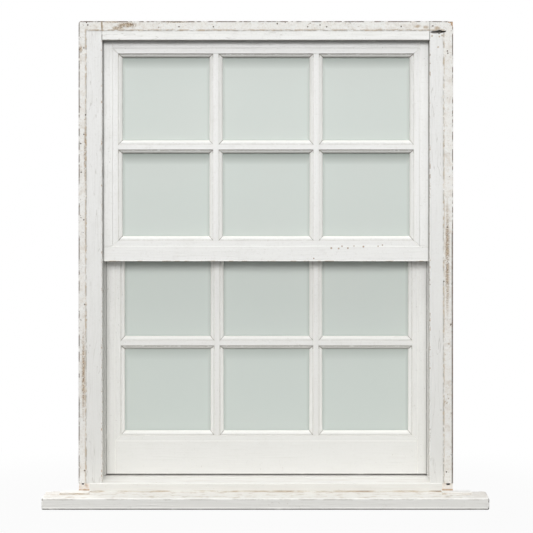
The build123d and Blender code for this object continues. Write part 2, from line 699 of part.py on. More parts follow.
def balances(plan, prefix, tube_foot):
    right = balance(plan, tube_foot, 1)
    left = {name: mirror(shape, about=Plane.YZ) for name, shape in right.items()}
    nodes = {}
    for side, pieces in (("left", left), ("right", right)):
        nodes[f"{prefix}_{side}_balance_tube"] = pieces["tube"]
        nodes[f"{prefix}_{side}_balance_strip"] = pieces["strip"]
        nodes[f"{prefix}_{side}_balance_bush"] = pieces["bush"]
    nodes[f"{prefix}_balance_feet"] = group([left["foot"], right["foot"]])
    fixed = {name: [left[name], right[name]] for name in ("plug", "spring", "screw")}
    return nodes, fixed


def fastener_base():
    top = LOWER_TOP
    plate = run_along_z(Pos(0, PIVOT_Y) * SlotOverall(64, 26), (top, top + 3))
    boss = run_along_z(Pos(0, PIVOT_Y) * Circle(HUB_RADIUS), (top, top + 7))
    pin = run_along_z(Pos(0, PIVOT_Y) * Circle(PIN_RADIUS), (top, top + 19))
    cap = run_along_z(Pos(0, PIVOT_Y) * Circle(PIN_RADIUS + 2), (top + 18, top + 20))
    cap = fillet(cap.edges().group_by(Axis.Z)[-1], 1)
    return plate + boss + pin + cap


def fastener_lever():
    """Hub on the pin, a tongue that swings over the keeper, and a handle with a turned knob."""
    low = LOWER_TOP + 7.4
    centre = Pos(0, PIVOT_Y)
    hub = run_along_z(centre * Circle(HUB_RADIUS), (low, low + 10.2))
    tongue_outline = centre * Pos(TONGUE_REACH / 2, 0) * SlotOverall(TONGUE_REACH + 10, 10)
    tongue = run_along_z(tongue_outline, (low, low + 5))
    handle_outline = centre * Pos(-HANDLE_REACH / 2, 0) * SlotOverall(HANDLE_REACH + 9, 9)
    handle = run_along_z(handle_outline, (low + 3, low + 9))
    knob = Pos(-HANDLE_REACH, PIVOT_Y, low + 9) * revolve(knob_section(), Axis.Z)
    bore = run_along_z(centre * Circle(PIN_RADIUS + 0.35), (low - 1, low + 11))
    return hub + tongue + handle + knob - bore


def knob_section():
    side = Polyline((0, 11), (0, -1), (3.5, -1), (3, 2))
    return Plane.XZ * make_face(side + Spline((3, 2), (6.5, 6), (4, 10), (0, 11), tangents=[(0, 1), (-1, 0)]))


def fastener_keeper():
    """Plate on the upper meeting rail with a hooked fence that the tongue swings under."""
    back = UPPER_FACE + SASH_THICKNESS
    low = UPPER_SIGHT
    fence = back - 16
    section = polygon((back, low), (back, low + 2.5), (fence + 3, low + 2.5), (fence + 3, low + 13.2),
                      (fence + 9, low + 13.2), (fence + 9, low + 16), (fence, low + 16), (fence, low))
    hook = run_along_x(section, (-15, 15))
    ears = block((-24, 24), (fence + 3, back), (low, low + 2.5))
    return hook + ears


def sash_lift(x):
    """Hook lift: a plate on the rail and a curled finger hook with an eased edge."""
    face = LOWER_FACE + SASH_THICKNESS
    front, top = face + LIFT_PLATE[0], LIFT_BASE + LIFT_PLATE[1]
    plate = polygon((face, LIFT_BASE), (front, LIFT_BASE), (front, top), (face, top))
    curl_centre = (face + LIFT_CURL[0], LIFT_BASE + LIFT_CURL[0])
    outer, inner = [CenterArc(curl_centre, radius, 180, 180) for radius in LIFT_CURL]
    ends = Line(outer @ 0, inner @ 0) + Line(outer @ 1, inner @ 1)
    hook = make_face(outer + inner + ends)
    solid = run_along_x(plate, (x - LIFT_WIDTH / 2, x + LIFT_WIDTH / 2))
    return solid + run_along_x(hook, (x - LIFT_WIDTH / 2 + 3, x + LIFT_WIDTH / 2 - 3))


def frame_timber():
    right_jamb, right_lining = jamb(), outside_lining()
    right_inside, right_bead = inside_lining(), parting_bead()
    nodes = {
        "sill": sill(),
        "sub_sill": sub_sill(),
        "head": head(),
        "head_outside_lining": head_outside_lining(),
        "head_inside_lining": head_inside_lining(),
        "head_parting_bead": head_parting_bead(),
    }
    pairs = {"jamb": right_jamb, "outside_lining": right_lining, "inside_lining": right_inside,
             "parting_bead": right_bead}
    for name, piece in pairs.items():
        nodes[f"left_{name}"] = mirror(piece, about=Plane.YZ)
        nodes[f"right_{name}"] = piece
    nodes["left_outside_lining"] = worn(nodes["left_outside_lining"])
    nodes["right_outside_lining"] = torn(nodes["right_outside_lining"])
    return {**nodes, **staff_beads()}


SCREW_HEIGHT = TUBE_TOP - 10
UPPER = SashPlan(UPPER_FACE, UPPER_BOTTOM, UPPER_TOP, UPPER_SIGHT, True)
LOWER = SashPlan(LOWER_FACE, LOWER_BOTTOM, LOWER_TOP, LOWER_SIGHT, False)
TRACKS = [plan.face + SASH_THICKNESS / 2 for plan in (UPPER, LOWER)]

nodes = frame_timber()
nodes |= sash_timber("upper", UPPER)
nodes |= sash_timber("lower", LOWER)
nodes["upper_top_rail"] = top_rail(UPPER)
nodes["upper_meeting_rail"] = meeting_foot(UPPER)
nodes["lower_meeting_rail"] = top_rail(LOWER) + meeting_lip(LOWER)
nodes["lower_bottom_rail"] = bottom_rail(LOWER)
for foot_piece in ("lower_left_stile", "lower_right_stile", "lower_bottom_rail"):
    nodes[foot_piece] = bevel_to_sill(nodes[foot_piece])

upper_nodes, upper_fixed = balances(UPPER, "upper", UPPER_TUBE_FOOT)
lower_nodes, lower_fixed = balances(LOWER, "lower", LOWER_TUBE_FOOT)
nodes |= upper_nodes | lower_nodes
for kind in ("plug", "spring", "screw"):
    nodes[f"balance_{kind}s"] = group(upper_fixed[kind] + lower_fixed[kind])

nodes["fastener_base"] = fastener_base()
nodes["fastener_lever"] = fastener_lever()
nodes["fastener_keeper"] = fastener_keeper()
nodes["sash_lifts"] = group(sash_lift(x) for x in (-LIFT_X, LIFT_X))

os.makedirs("parts", exist_ok=True)
for name, shape in nodes.items():
    export_step(shape, f"parts/{name}.step")
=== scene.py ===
import json
import math

import bmesh
import bpy
from bpy.props import FloatProperty, FloatVectorProperty, PointerProperty
from mathutils import Matrix, Vector, noise

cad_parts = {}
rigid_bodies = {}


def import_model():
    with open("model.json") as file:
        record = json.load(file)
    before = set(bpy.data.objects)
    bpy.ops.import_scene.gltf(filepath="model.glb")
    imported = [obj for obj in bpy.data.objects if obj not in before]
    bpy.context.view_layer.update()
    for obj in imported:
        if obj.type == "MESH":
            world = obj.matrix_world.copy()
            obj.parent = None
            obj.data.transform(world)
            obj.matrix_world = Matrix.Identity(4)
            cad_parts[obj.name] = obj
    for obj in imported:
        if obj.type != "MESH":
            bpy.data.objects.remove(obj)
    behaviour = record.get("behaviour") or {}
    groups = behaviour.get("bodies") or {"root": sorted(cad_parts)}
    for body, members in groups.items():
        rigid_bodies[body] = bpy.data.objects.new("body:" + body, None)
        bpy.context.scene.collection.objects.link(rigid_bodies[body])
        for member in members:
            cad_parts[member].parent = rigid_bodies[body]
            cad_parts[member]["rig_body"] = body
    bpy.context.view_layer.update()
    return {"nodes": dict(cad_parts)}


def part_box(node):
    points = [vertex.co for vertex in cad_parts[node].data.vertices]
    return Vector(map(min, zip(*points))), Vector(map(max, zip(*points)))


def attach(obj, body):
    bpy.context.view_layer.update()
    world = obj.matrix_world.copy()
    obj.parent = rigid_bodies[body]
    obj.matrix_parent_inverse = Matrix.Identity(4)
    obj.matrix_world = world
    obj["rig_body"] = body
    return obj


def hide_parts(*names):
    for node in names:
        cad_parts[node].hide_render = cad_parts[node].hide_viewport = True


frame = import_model()

bl_info = {
    "name": "Sash Window",
    "version": (1, 0, 0),
    "blender": (4, 5, 0),
    "location": "View3D > Sidebar > Sash Window",
    "description": "Paints, glazes and fits out a sliding sash window in its frame",
    "category": "Object",
}

MM = 0.001

# The frame's outer edges, and the lines where the old margin paint stops
LINING_EDGE, FRAME_HALF = (corner.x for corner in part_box("right_outside_lining"))
HEAD_EDGE, FRAME_TOP = (corner.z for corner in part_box("head_outside_lining"))
LINING_FACE, FRAME_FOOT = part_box("left_outside_lining")[0].yz
MARGIN_LEFT = -408.3 * MM
MARGIN_RIGHT = 403.5 * MM
MARGIN_HEAD = 1079.0 * MM
JOINT_GAP = 0.45 * MM

# How far the glazing beads reach past the sight lines of a pane
BOTTOM_LIP = 11 * MM
SIDE_LIP = 9.5 * MM
TOP_LIP = 7.5 * MM

# Where the old coat is missing: outlines in X and Z, and a rounded corner with its radius, in millimetres
GASH = [(373, 1076), (391, 1080), (397, 1080.5), (404, 1078),
        (411, 1078.5), (407, 1074), (392.5, 1070), (375, 1073.5)]
SPLIT_CORNER = [(427, 1084.5), (421, 1089.5), (419, 1094), (414, 1096.5), (412, 1102), (427, 1102)]
WORN_CORNER = (-419, 1094, 6)

# Places on the linings: two corners of a box each, in millimetres
OPENING = LINING_EDGE / MM
OUTSIDE = FRAME_HALF / MM
TORN_WOOD = ((372.8, 0.6, 1069), (411.5, 20, 1081.5))
SPLIT_WOOD = ((411, -1, 1082), (427, 12, 1099.3))
# SOFFIT and REVEALS mark where shade is painted
SOFFIT = ((-OPENING, 1.2, 1055), (OPENING, 23, 1058.5))
REVEALS = [((x - 0.4, 2.5, 560), (x + 0.4, 23, 1060)) for x in (-OPENING, OPENING)]
LOW_RIGHT_ARRIS = ((OUTSIDE - 3.4, -5, 40), (OUTSIDE + 1, 5, 620))

# Places on the sill and the sub-sill
STOOLS = (-431, 431)
STOOL_TOPS = [((x - 33.2, -27.3, 33.6), (x + 33.2, -2, 36)) for x in STOOLS]
STOOL_FRONTS = [((x - 34, -30, 26), (x + 34, -26.5, 32)) for x in STOOLS]
SILL_JOINT = ((-401, -9, 28), (401, 1, 34.5))
SILL_SLOPE = ((-401, 1, 50), (401, 80, 70))
SUB_SILL_SLOPE = ((-501, -59.5, 25), (501, -2.2, 36))
SUB_SILL_ARRIS = ((-501, -63, 21.5), (501, -60.3, 25))
# DRIP_EDGE takes a painted highlight and DRIP_FOOT painted shade, on the sub-sill's rounded front
DRIP_EDGE = ((-497, -63, 3.4), (497, -60.5, 6.5))
DRIP_FOOT = ((-501, -63, -1), (501, -58, 3.0))
BETWEEN_HORN_ENDS = ((-496.8, -80, -5), (496.8, 0, 40))
SILL_ENDS = ((-426, -400.2), (400.2, 426))

# Pockets broken out of the sill's ends: where in X, and their floors, in millimetres; their insides are
# painted black as shade
POCKETS = [((-418, -413.5), 47), ((410, 418.5), 46.5)]

# Rust in the margin: middle X and Z, then half its width and height, in millimetres, and how grainy it is
RUST_SPOTS = [
    (-340, 1084, 10, 6, 0.8), (-328, 1088, 12, 9, 0.8), (-317, 1091, 13, 9, 0.8), (-304, 1091, 14, 7, 0.8),
    (-344, 1099, 32, 4, 0.8), (-203, 1099, 46, 4, 0.8), (345, 1088, 11, 5, 0.1), (363, 1086, 8, 5, 0.1),
    (389, 1084, 9, 6, 0.1), (-420, 1036, 5, 10, 0.8), (-409, 800, 5, 90, 0.8), (-414, 300, 5, 120, 0.8),
    (412, 560, 6, 150, 0.8),
]

# Brown specks on the newer coat below the gash, and on the upper meeting rail: X, Z and radius in millimetres
LINING_SPECKS = [(377, 1066.5, 3), (394, 1065, 2.6), (400, 1067.5, 3.2), (404.5, 1060, 2.8), (391, 1041, 3)]
RAIL_SPECKS = [(4, 603, 2.2), (109, 561.5, 2), (149, 585, 3), (166, 584, 2.6), (173.5, 589.5, 2.4),
               (187, 585, 2.6), (201, 590, 2), (222.5, 588.5, 2.8), (256, 589.5, 2), (266, 592, 2.2)]

# Nail heads on the outside linings: X and Z in millimetres
NAILS = [
    (-407, 1097), (-404, 1091), (-413, 1039), (-409, 887), (-413, 843), (-420, 822), (-419, 757),
    (-413, 649), (-411, 457), (-411, 80), (-197, 1087), (-119, 1087), (26, 1094), (95, 1087),
    (123, 1091), (138, 1087), (307, 1088), (379, 1089), (412, 1032), (413, 1027), (412, 632),
    (404, 509), (410, 77),
]

# The old margin paint: the mesh's pitch, and how many lumps of each unevenness go to a metre
MARGIN_PITCH = 1.6 * MM
EDGE_WAVES, EDGE_TATTERS = 45, 160
FACE_LUMPS, FACE_GRIT = 60, 220
CHIP_SIZE, CHIP_RIM = 120, 310

# Worn arrises: which edges count as sharp and long, and what is too short to keep
SHARP = math.radians(40)
LONG = 12 * MM
SPLINTER = 0.002 * MM

# Slotted screw heads
SLOT_HALF = 0.45 * MM
SLOT_DEPTH = 0.8 * MM
SCREW_SKIRT = 0.9 * MM
SCREW_RISE = 0.35 * MM


def linear(hex_colour):
    """Linear RGBA of an sRGB hex colour."""
    channels = [int(hex_colour[i:i + 2], 16) / 255 for i in (1, 3, 5)]
    return [c / 12.92 if c <= 0.04045 else ((c + 0.055) / 1.055) ** 2.4 for c in channels] + [1.0]


def colour(name, description, hex_colour):
    """A colour that a user can change."""
    return FloatVectorProperty(name=name, description=description, default=linear(hex_colour),
                               size=4, min=0, max=1, subtype="COLOR")


def number(name, description, default, lowest, unit="NONE"):
    """A number that a user can change."""
    return FloatProperty(name=name, description=description, default=default, min=lowest, precision=4,
                         unit=unit)


def length(name, description, millimetres):
    """A small length that a user can change."""
    return number(name, description, millimetres * MM, 0, "LENGTH")


class SashWindowColours(bpy.types.PropertyGroup):
    """Finishes of the window."""
    frame_coat: colour("Frame paint", "Newest coat on the frame", "#E6E6E4")
    head_coat: colour("Head paint", "Cleaner coat on the head lining", "#EEEEEB")
    margin_coat: colour("Margin paint", "Old coat that the wall used to cover", "#ECEAE5")
    sash_coat: colour("Sash paint", "Coat on the sashes", "#EBEBE9")
    sill_coat: colour("Sill paint", "Coat on the front of the sill", "#E4E2DC")
    # shaded_nose_coat: the sub-sill's front, painted darker as shade
    shaded_nose_coat: colour("Nose paint", "Duller coat on the front of the sub-sill", "#E4E3E1")
    # clean_and_highlight: clean paint on the stools, and painted highlight on ledges, flanks and rounded
    # arrises
    clean_and_highlight: colour("Washed paint", "Coat that the rain keeps clean", "#FAF9F5")
    tired: colour("Tired paint", "Where the coat is thin or chalky", "#D6D5D0")
    # grime_and_shade: dirt, and painted shade on undersides and in the quirks under bars
    grime_and_shade: colour("Grime", "Dirt in joints and pits", "#8F877B")
    # soot_and_shade: deep dirt, and painted shade under the head, in the reveals, at the sashes' edges, under
    # the sub-sill's front and in holes
    soot_and_shade: colour("Soot", "Deepest dirt", "#4A443D")
    stain: colour("Stain", "Brown water marks", "#A78C66")
    pine: colour("Bare pine", "Wood where the paint is gone", "#B48F68")
    rust: colour("Rust", "Nail heads and their stains", "#5A4332")
    glass: colour("Glass", "Obscured glass", "#CAD2CC")
    # film_and_shade: dirt on the glass, and painted shade at the top of the panes
    film_and_shade: colour("Film", "Dirt at the edges of the glass", "#6E7A70")
    brass: colour("Brass", "Fastener and lifts", "#C9A35C")
    zinc: colour("Zinc", "Plated steel of the balances", "#A9ABAD")
    nylon: colour("Nylon", "Bushes and plugs", "#E2DFD6")
    enamel: colour("Enamel", "Balance tubes", "#E6E5E1")
    floor: colour("Floor", "Studio floor", "#8C8C8C")


class SashWindowSizes(bpy.types.PropertyGroup):
    """Small sizes that the finish needs."""
    arris: length("Arris", "How far sharp edges are worn round", 0.8)
    margin_build: length("Margin build", "How far the old margin paint stands proud", 1.3)
    ragged: length("Ragged edge", "How far the margin's edge wanders", 1.4)
    nail: length("Nail head", "Radius of a nail head", 1.7)
    screw: length("Screw head", "Radius of a fitting's screw head", 3.2)


class SashWindowStage(bpy.types.PropertyGroup):
    """Camera and studio."""
    camera_x: number("Camera X", "Camera to the right of the middle", 0.065, -10, "LENGTH")
    camera_distance: number("Camera distance", "Camera in front of the linings", 3.5, 1, "LENGTH")
    camera_height: number("Camera height", "Camera above the floor", 0.543, 0, "LENGTH")
    lens: number("Lens", "Focal length in millimetres on a 36 mm sensor", 104.14, 20)
    shift: number("Shift", "Sideways shift of the picture", -0.0525, -1)
    key: number("Key light", "Soft light from the front, a little to the left", 1.75, 0)
    top: number("Top light", "Soft light from overhead", 1.0, 0)
    back: number("Back light", "Soft light from behind", 1.5, 0)
    sky: number("Sky", "Light from all round", 0.33, 0)


def fill(node, inputs):
    """Fills a node's inputs with values or links."""
    for key, value in inputs.items():
        if isinstance(value, bpy.types.NodeSocket):
            node.id_data.links.new(value, node.inputs[key])
        else:
            node.inputs[key].default_value = value


def add(beside, kind, inputs=None, output=0, **settings):
    """Adds a node to a tree or beside a socket in it, sets it, fills its inputs and gives one output."""
    node = beside.id_data.nodes.new("ShaderNode" + kind)
    for key, value in settings.items():
        setattr(node, key, value)
    fill(node, inputs or {})
    return node.outputs[output]


def reckon(beside, operation, *values):
    """Works out a value at every point, such as a product or a comparison."""
    return add(beside, "Math", dict(enumerate(values)), operation=operation)


def axes(vector):
    """A vector's parts along X, Y and Z."""
    return add(vector, "SeparateXYZ", {0: vector}).node.outputs


def begin_material(name):
    """A new material and the piece's own coordinates in it."""
    material = bpy.data.materials.new(name)
    material.use_nodes = True
    return material, add(material.node_tree, "TexCoord", output="Object")


def surfaced(material, paint, roughness, height, depth_mm, **others):
    """The material with its colour, its sheen and the relief that the light catches."""
    bump = add(height, "Bump", {"Height": height, "Strength": 1.0, "Distance": depth_mm * MM})
    fill(material.node_tree.nodes["Principled BSDF"],
         {"Base Color": paint, "Roughness": roughness, "Normal": bump, **others})
    return material


def layered(paint, *layers):
    """Lays coats over a paint, each one a share and its colour, the last on top."""
    for share, coat in layers:
        paint = add(share, "Mix", {0: share, 6: paint, 7: coat}, 2, data_type="RGBA")
    return paint


def highest(share, *others):
    """The highest of several shares, so any of several places."""
    for other in others:
        share = reckon(share, "MAXIMUM", share, other)
    return share


def thinning(*bands):
    """Dirt in bands: what is measured, where it starts, where it is full and how dense it gets."""
    shares = (add(reach, "MapRange", {"Value": reach, "From Min": start, "From Max": full, "To Max": most})
              for reach, start, full, most in bands)
    return highest(*shares)


def stretched(along, share):
    """Scales that draw a pattern out along one axis."""
    return [share if axis == along else 1.0 for axis in "XYZ"]


def patches(place, size_mm, start, full, most=1.0, detail=4.0):
    """Cloudy patches about size_mm across, from 0 up to most; a higher start leaves fewer."""
    cloud = add(place, "TexNoise", {"Vector": place, "Scale": 1 / (size_mm * MM), "Detail": detail,
                                    "Roughness": 0.6})
    return add(place, "MapRange", {"Value": cloud, "From Min": start, "From Max": full, "To Max": most},
               interpolation_type="SMOOTHSTEP")


def patched(where, place, size_mm, start, full, most=1.0):
    """Patches kept to one place."""
    cloud = patches(place, size_mm, start, full, most)
    return reckon(place, "MULTIPLY", where, cloud)


def speckled(where, place, pitch_mm, most=1.0):
    """Round specks about pitch_mm apart, kept to one place."""
    reach = add(place, "TexVoronoi", {"Vector": place, "Scale": 1 / (pitch_mm * MM)})
    specks = add(place, "MapRange", {"Value": reach, "From Min": 0.5, "From Max": 0.3, "To Max": most})
    return reckon(place, "MULTIPLY", where, specks)


def counted_from(place, middle, half):
    """How many half sizes a point lies from a middle, on each axis; both in millimetres."""
    off = add(place, "VectorMath", {0: place, 1: [part * MM for part in middle]}, operation="SUBTRACT")
    return add(place, "VectorMath", {0: off, 1: [part * MM for part in half]}, operation="DIVIDE")


def boxed(place, box):
    """1 inside a box given by two corners in millimetres."""
    middle = [(low + high) / 2 for low, high in zip(*box)]
    half = [(high - low) / 2 for low, high in zip(*box)]
    off = add(place, "VectorMath", {0: counted_from(place, middle, half)}, operation="ABSOLUTE")
    furthest = highest(*axes(off))
    return reckon(place, "LESS_THAN", furthest, 1.0)


def spot(place, middle, half):
    """1 in the middle of a spot, fading to 0 at its rim; its middle and half size in millimetres."""
    off = counted_from(place, middle, half)
    reach = add(place, "VectorMath", {0: off}, "Value", operation="LENGTH")
    return add(place, "MapRange", {"Value": reach, "From Min": 1.0, "From Max": 0.35})


def weathered_coat(place, coat, along):
    """Colour and height of white gloss on old pine: painted highlight on ledges and flanks, painted shade
    underneath.
    """
    finish = bpy.context.scene.sash_colours
    # grain shows through as drawn-out lines about 3 mm apart, and the coat is thin in clouds and specks
    drawn = add(place, "Mapping", {"Vector": place, "Scale": stretched(along, 0.035)})
    grain = patches(drawn, 3, 0.45, 0.75, 0.25)
    clouds = patches(place, 45, 0.5, 0.8, 0.35)
    specks = patches(place, 6, 0.52, 0.72, 0.4)
    # darker towards the foot of the window
    height = axes(place)["Z"]
    darker_low = thinning((height, 750 * MM, 50 * MM, 0.75))
    # pits about 3 mm across, in loose groups
    pits = patched(patches(place, 50, 0.45, 0.6), place, 4, 0.65, 0.71, 0.45)
    # painted light: ledges and the flanks of mouldings are painted lighter as highlight, undersides darker as
    # shade
    facing = axes(add(place, "TexCoord", output="Normal"))
    clean_and_highlight = add(place, "MapRange", {"Value": facing["Z"], "From Min": 0.25, "From Max": 0.8})
    aside = reckon(place, "ABSOLUTE", facing["X"])
    highlit_flank = add(place, "MapRange", {"Value": aside, "From Min": 0.2, "From Max": 0.7})
    under = thinning((facing["Z"], -0.3, -0.95, 0.5))
    # brown specks that lie on the ledges
    ledge = patched(clean_and_highlight, place, 5, 0.68, 0.74, 0.5)
    paint = layered(coat, *((thin, finish.tired) for thin in (grain, clouds, specks, darker_low)))
    paint = layered(paint, (pits, finish.grime_and_shade), (highest(clean_and_highlight, highlit_flank), finish.clean_and_highlight),
                    (under, finish.grime_and_shade), (ledge, finish.stain))
    return paint, reckon(place, "SUBTRACT", grain, pits)


def shade_at_sash_edges(place):
    """Painted shade on the sashes: beside the linings, under the head and under the bottom rail, thinning
    out.
    """
    across = axes(place)
    side = reckon(place, "ABSOLUTE", across["X"])
    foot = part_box("lower_bottom_rail")[0].z
    return thinning((side, 369 * MM, 371.5 * MM, 0.6), (across["Z"], 1036 * MM, 1055 * MM, 0.1),
                    (across["Z"], foot + 3 * MM, foot + 1 * MM, 0.85))


def meeting_rail_wear_and_highlight(place, paint):
    """The upper meeting rail's lower arris with a painted highlight along it and chipped, and brown specks on
    its face.
    """
    finish = bpy.context.scene.sash_colours
    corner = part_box("upper_meeting_rail")[0]
    face, foot = corner.y / MM, corner.z / MM
    # rubbed: a painted highlight along the lower arris; bare: the chips in it
    rubbed, bare = (boxed(place, ((-371, face - 1, foot - 1), (371, face + 3, foot + rise)))
                    for rise in (2.6, 1.2))
    chips = patched(bare, place, 16, 0.48, 0.58, 0.75)
    paint = layered(paint, (rubbed, finish.clean_and_highlight), (chips, finish.stain))
    for x, z, radius in RAIL_SPECKS:
        speck = spot(place, (x, face, z), (radius, 4, radius))
        for most, tone in ((0.85, finish.pine), (0.45, finish.rust)):
            paint = layered(paint, (patched(speck, place, 4, 0.25, 0.5, most), tone))
    return paint


def gloss_paint(name, coat, along, wear_and_shade=False, mitred=None):
    """White gloss, brushed: an even soft sheen with the grain and a few pits in it, painted highlight on
    ledges and flanks, and dirt and painted shade where it is held.
    """
    finish = bpy.context.scene.sash_colours
    material, place = begin_material(name)
    paint, height = weathered_coat(place, coat, along)
    # a painted highlight on the meeting rail's arris, and painted shade at the sashes' edges
    if wear_and_shade:
        paint = meeting_rail_wear_and_highlight(place, paint)
        held = patched(shade_at_sash_edges(place), place, 30, 0.1, 0.45)
        paint = layered(paint, (held, finish.soot_and_shade))
    # dirt in the beads' mitres and quirks, with painted shade in the quirks under rails and bars
    if mitred:
        held = patched(bead_dirt(place, mitred), place, 12, 0.25, 0.5, 0.8)
        paint = layered(paint, (held, finish.grime_and_shade))
    return surfaced(material, paint, 0.42, height, 0.8)


def outside_pane(place, sash):
    """How far a point lies past the edges of its own pane: to the side, below and above."""
    half = -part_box(f"{sash}_left_bar")[1].x
    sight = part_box(f"{sash}_glazing_beads")[0].z + BOTTOM_LIP
    low, high = (corner.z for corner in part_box(f"{sash}_cross_bars"))
    across = axes(place)
    between = (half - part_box(f"{sash}_left_bar")[0].x) / 2
    column = reckon(place, "PINGPONG", across["X"], between)
    side = reckon(place, "SUBTRACT", column, half)
    start = sight - 1.3 * BOTTOM_LIP
    row = reckon(place, "WRAP", across["Z"], start + high - sight, start)
    below = reckon(place, "SUBTRACT", sight, row)
    above = reckon(place, "SUBTRACT", row, low)
    return side, below, above


def bead_dirt(place, sash):
    """1 along the mitres of the glazing beads, and less on the floor of their quirks, where those under a
    rail or a bar take more as painted shade.
    """
    side, below, above = outside_pane(place, sash)
    mitres = []
    for past, lip, width in ((below, BOTTOM_LIP, 1.0 * MM), (above, TOP_LIP, 1.2 * MM)):
        slant = reckon(place, "MULTIPLY", side, lip / SIDE_LIP)
        mitres.append(reckon(place, "COMPARE", slant, past, width))
    outside = reckon(place, "GREATER_THAN", side, -0.5 * MM)
    mitre = reckon(place, "MULTIPLY", highest(*mitres), outside)
    forward = axes(add(place, "TexCoord", output="Normal"))["Y"]
    flat = reckon(place, "LESS_THAN", forward, -0.95)
    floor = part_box(f"{sash}_glazing_beads")[0].y + 1.5 * MM
    depth = axes(place)["Y"]
    sunk = reckon(place, "GREATER_THAN", depth, floor)
    quirk = reckon(place, "MULTIPLY", flat, sunk)
    # the quirks keep a little dirt, and those under a rail or a bar are darker as painted shade
    shade_under_bars = add(place, "MapRange", {"Value": above, "From Min": -1 * MM, "From Max": 0.0,
                                        "To Min": 0.22, "To Max": 0.8})
    quirk = reckon(place, "MULTIPLY", quirk, shade_under_bars)
    return highest(mitre, quirk)


def margin_distance(place):
    """Distance past the line where the old margin paint starts."""
    across = axes(place)
    left = reckon(place, "SUBTRACT", MARGIN_LEFT, across["X"])
    right = reckon(place, "SUBTRACT", across["X"], MARGIN_RIGHT)
    above = reckon(place, "SUBTRACT", across["Z"], MARGIN_HEAD)
    return highest(left, right, above)


def torn_and_cracked(place, along, paint):
    """The linings' newer coat where it cracked, chipped or came away: hairlines, old wood and fresh wood."""
    finish = bpy.context.scene.sash_colours
    across = axes(place)
    # old pine without its paint: orange brown, grey where dirt has got into the grain
    drawn = add(place, "Mapping", {"Vector": place, "Scale": stretched(along, 0.2)})
    wood = layered(finish.pine, (patches(drawn, 4, 0.42, 0.68), finish.grime_and_shade))
    # dirt along the line of the old margin, darkened further as painted shade under the margin's edge
    past = margin_distance(place)
    line = reckon(place, "COMPARE", past, -0.5 * MM, 1.4 * MM)
    dirt = patched(line, place, 18, 0.36, 0.6, 0.6)
    # hair cracks that follow the grain at a slant
    slant = add(place, "Mapping", {"Vector": place, "Rotation": (0, math.radians(-7), 0),
                                   "Scale": stretched(along, 0.1)})
    cloud = add(place, "TexNoise", {"Vector": slant, "Scale": 1 / (14 * MM), "Detail": 2.0})
    crack = reckon(place, "COMPARE", cloud, 0.5, 0.007)
    hairline = patched(crack, place, 110, 0.44, 0.56, 0.28)
    # chips about 5 mm long on the arris beside the sashes
    side = reckon(place, "ABSOLUTE", across["X"])
    arris = reckon(place, "COMPARE", side, LINING_EDGE + 0.5 * MM, 1.5 * MM)
    chips = patched(arris, place, 9, 0.56, 0.64, 0.7)
    # bare wood under the old coat, grey with age except in the split corner
    facing = axes(add(place, "TexCoord", output="Normal"))["Y"]
    forward = reckon(place, "LESS_THAN", facing, -0.3)
    under = reckon(place, "GREATER_THAN", past, 2.5 * MM)
    under = reckon(place, "MULTIPLY", under, forward)
    old = layered(finish.grime_and_shade, (patches(place, 9, 0.4, 0.65), finish.rust),
                  (boxed(place, SPLIT_WOOD), wood))
    # dirt in the joints beside the head lining
    high = reckon(place, "GREATER_THAN", across["Z"], HEAD_EDGE)
    joint = reckon(place, "COMPARE", side, LINING_EDGE, 0.8 * MM)
    joint = reckon(place, "MULTIPLY", joint, high)
    joint = patched(joint, place, 10, 0.3, 0.55, 0.8)
    return layered(paint, (dirt, finish.grime_and_shade), (hairline, finish.grime_and_shade), (chips, wood), (under, old),
                   (joint, finish.soot_and_shade))


def lining_paint(name, along, coat):
    """Gloss paint that stops at the wall's old edge, with dirt and painted shade along that line, painted
    shade under the head and in the reveals, and wood where it has torn.
    """
    finish = bpy.context.scene.sash_colours
    material, place = begin_material(name)
    paint, height = weathered_coat(place, coat, along)
    paint = torn_and_cracked(place, along, paint)
    # painted shade under the head, and deep in the reveals beside the upper sash
    deep = thinning((axes(place)["Y"], 4 * MM, 20 * MM, 1.0))
    shaded_places = [boxed(place, SOFFIT)]
    shaded_places += [reckon(place, "MULTIPLY", boxed(place, box), deep) for box in REVEALS]
    for where in shaded_places:
        paint = layered(paint, (patched(where, place, 40, 0.2, 0.5, 0.8), finish.soot_and_shade))
    for x, z, radius in LINING_SPECKS:
        speck = spot(place, (x, 0, z), (radius, 4, radius))
        paint = layered(paint, (patched(speck, place, 4, 0.3, 0.55, 0.8), finish.stain))
    # the gash, black with dirt and with painted shade for its depth, with grey splinters, and its tail
    torn = layered(finish.soot_and_shade, (patches(place, 6, 0.5, 0.7, 0.5), finish.grime_and_shade))
    tail = spot(place, (384, 0, 1075), (13, 3, 4))
    tail = add(place, "MapRange", {"Value": tail, "From Min": 0.1, "From Max": 0.6, "To Max": 0.9})
    paint = layered(paint, (boxed(place, TORN_WOOD), torn), (tail, finish.soot_and_shade))
    return surfaced(material, paint, 0.45, height, 1.0)


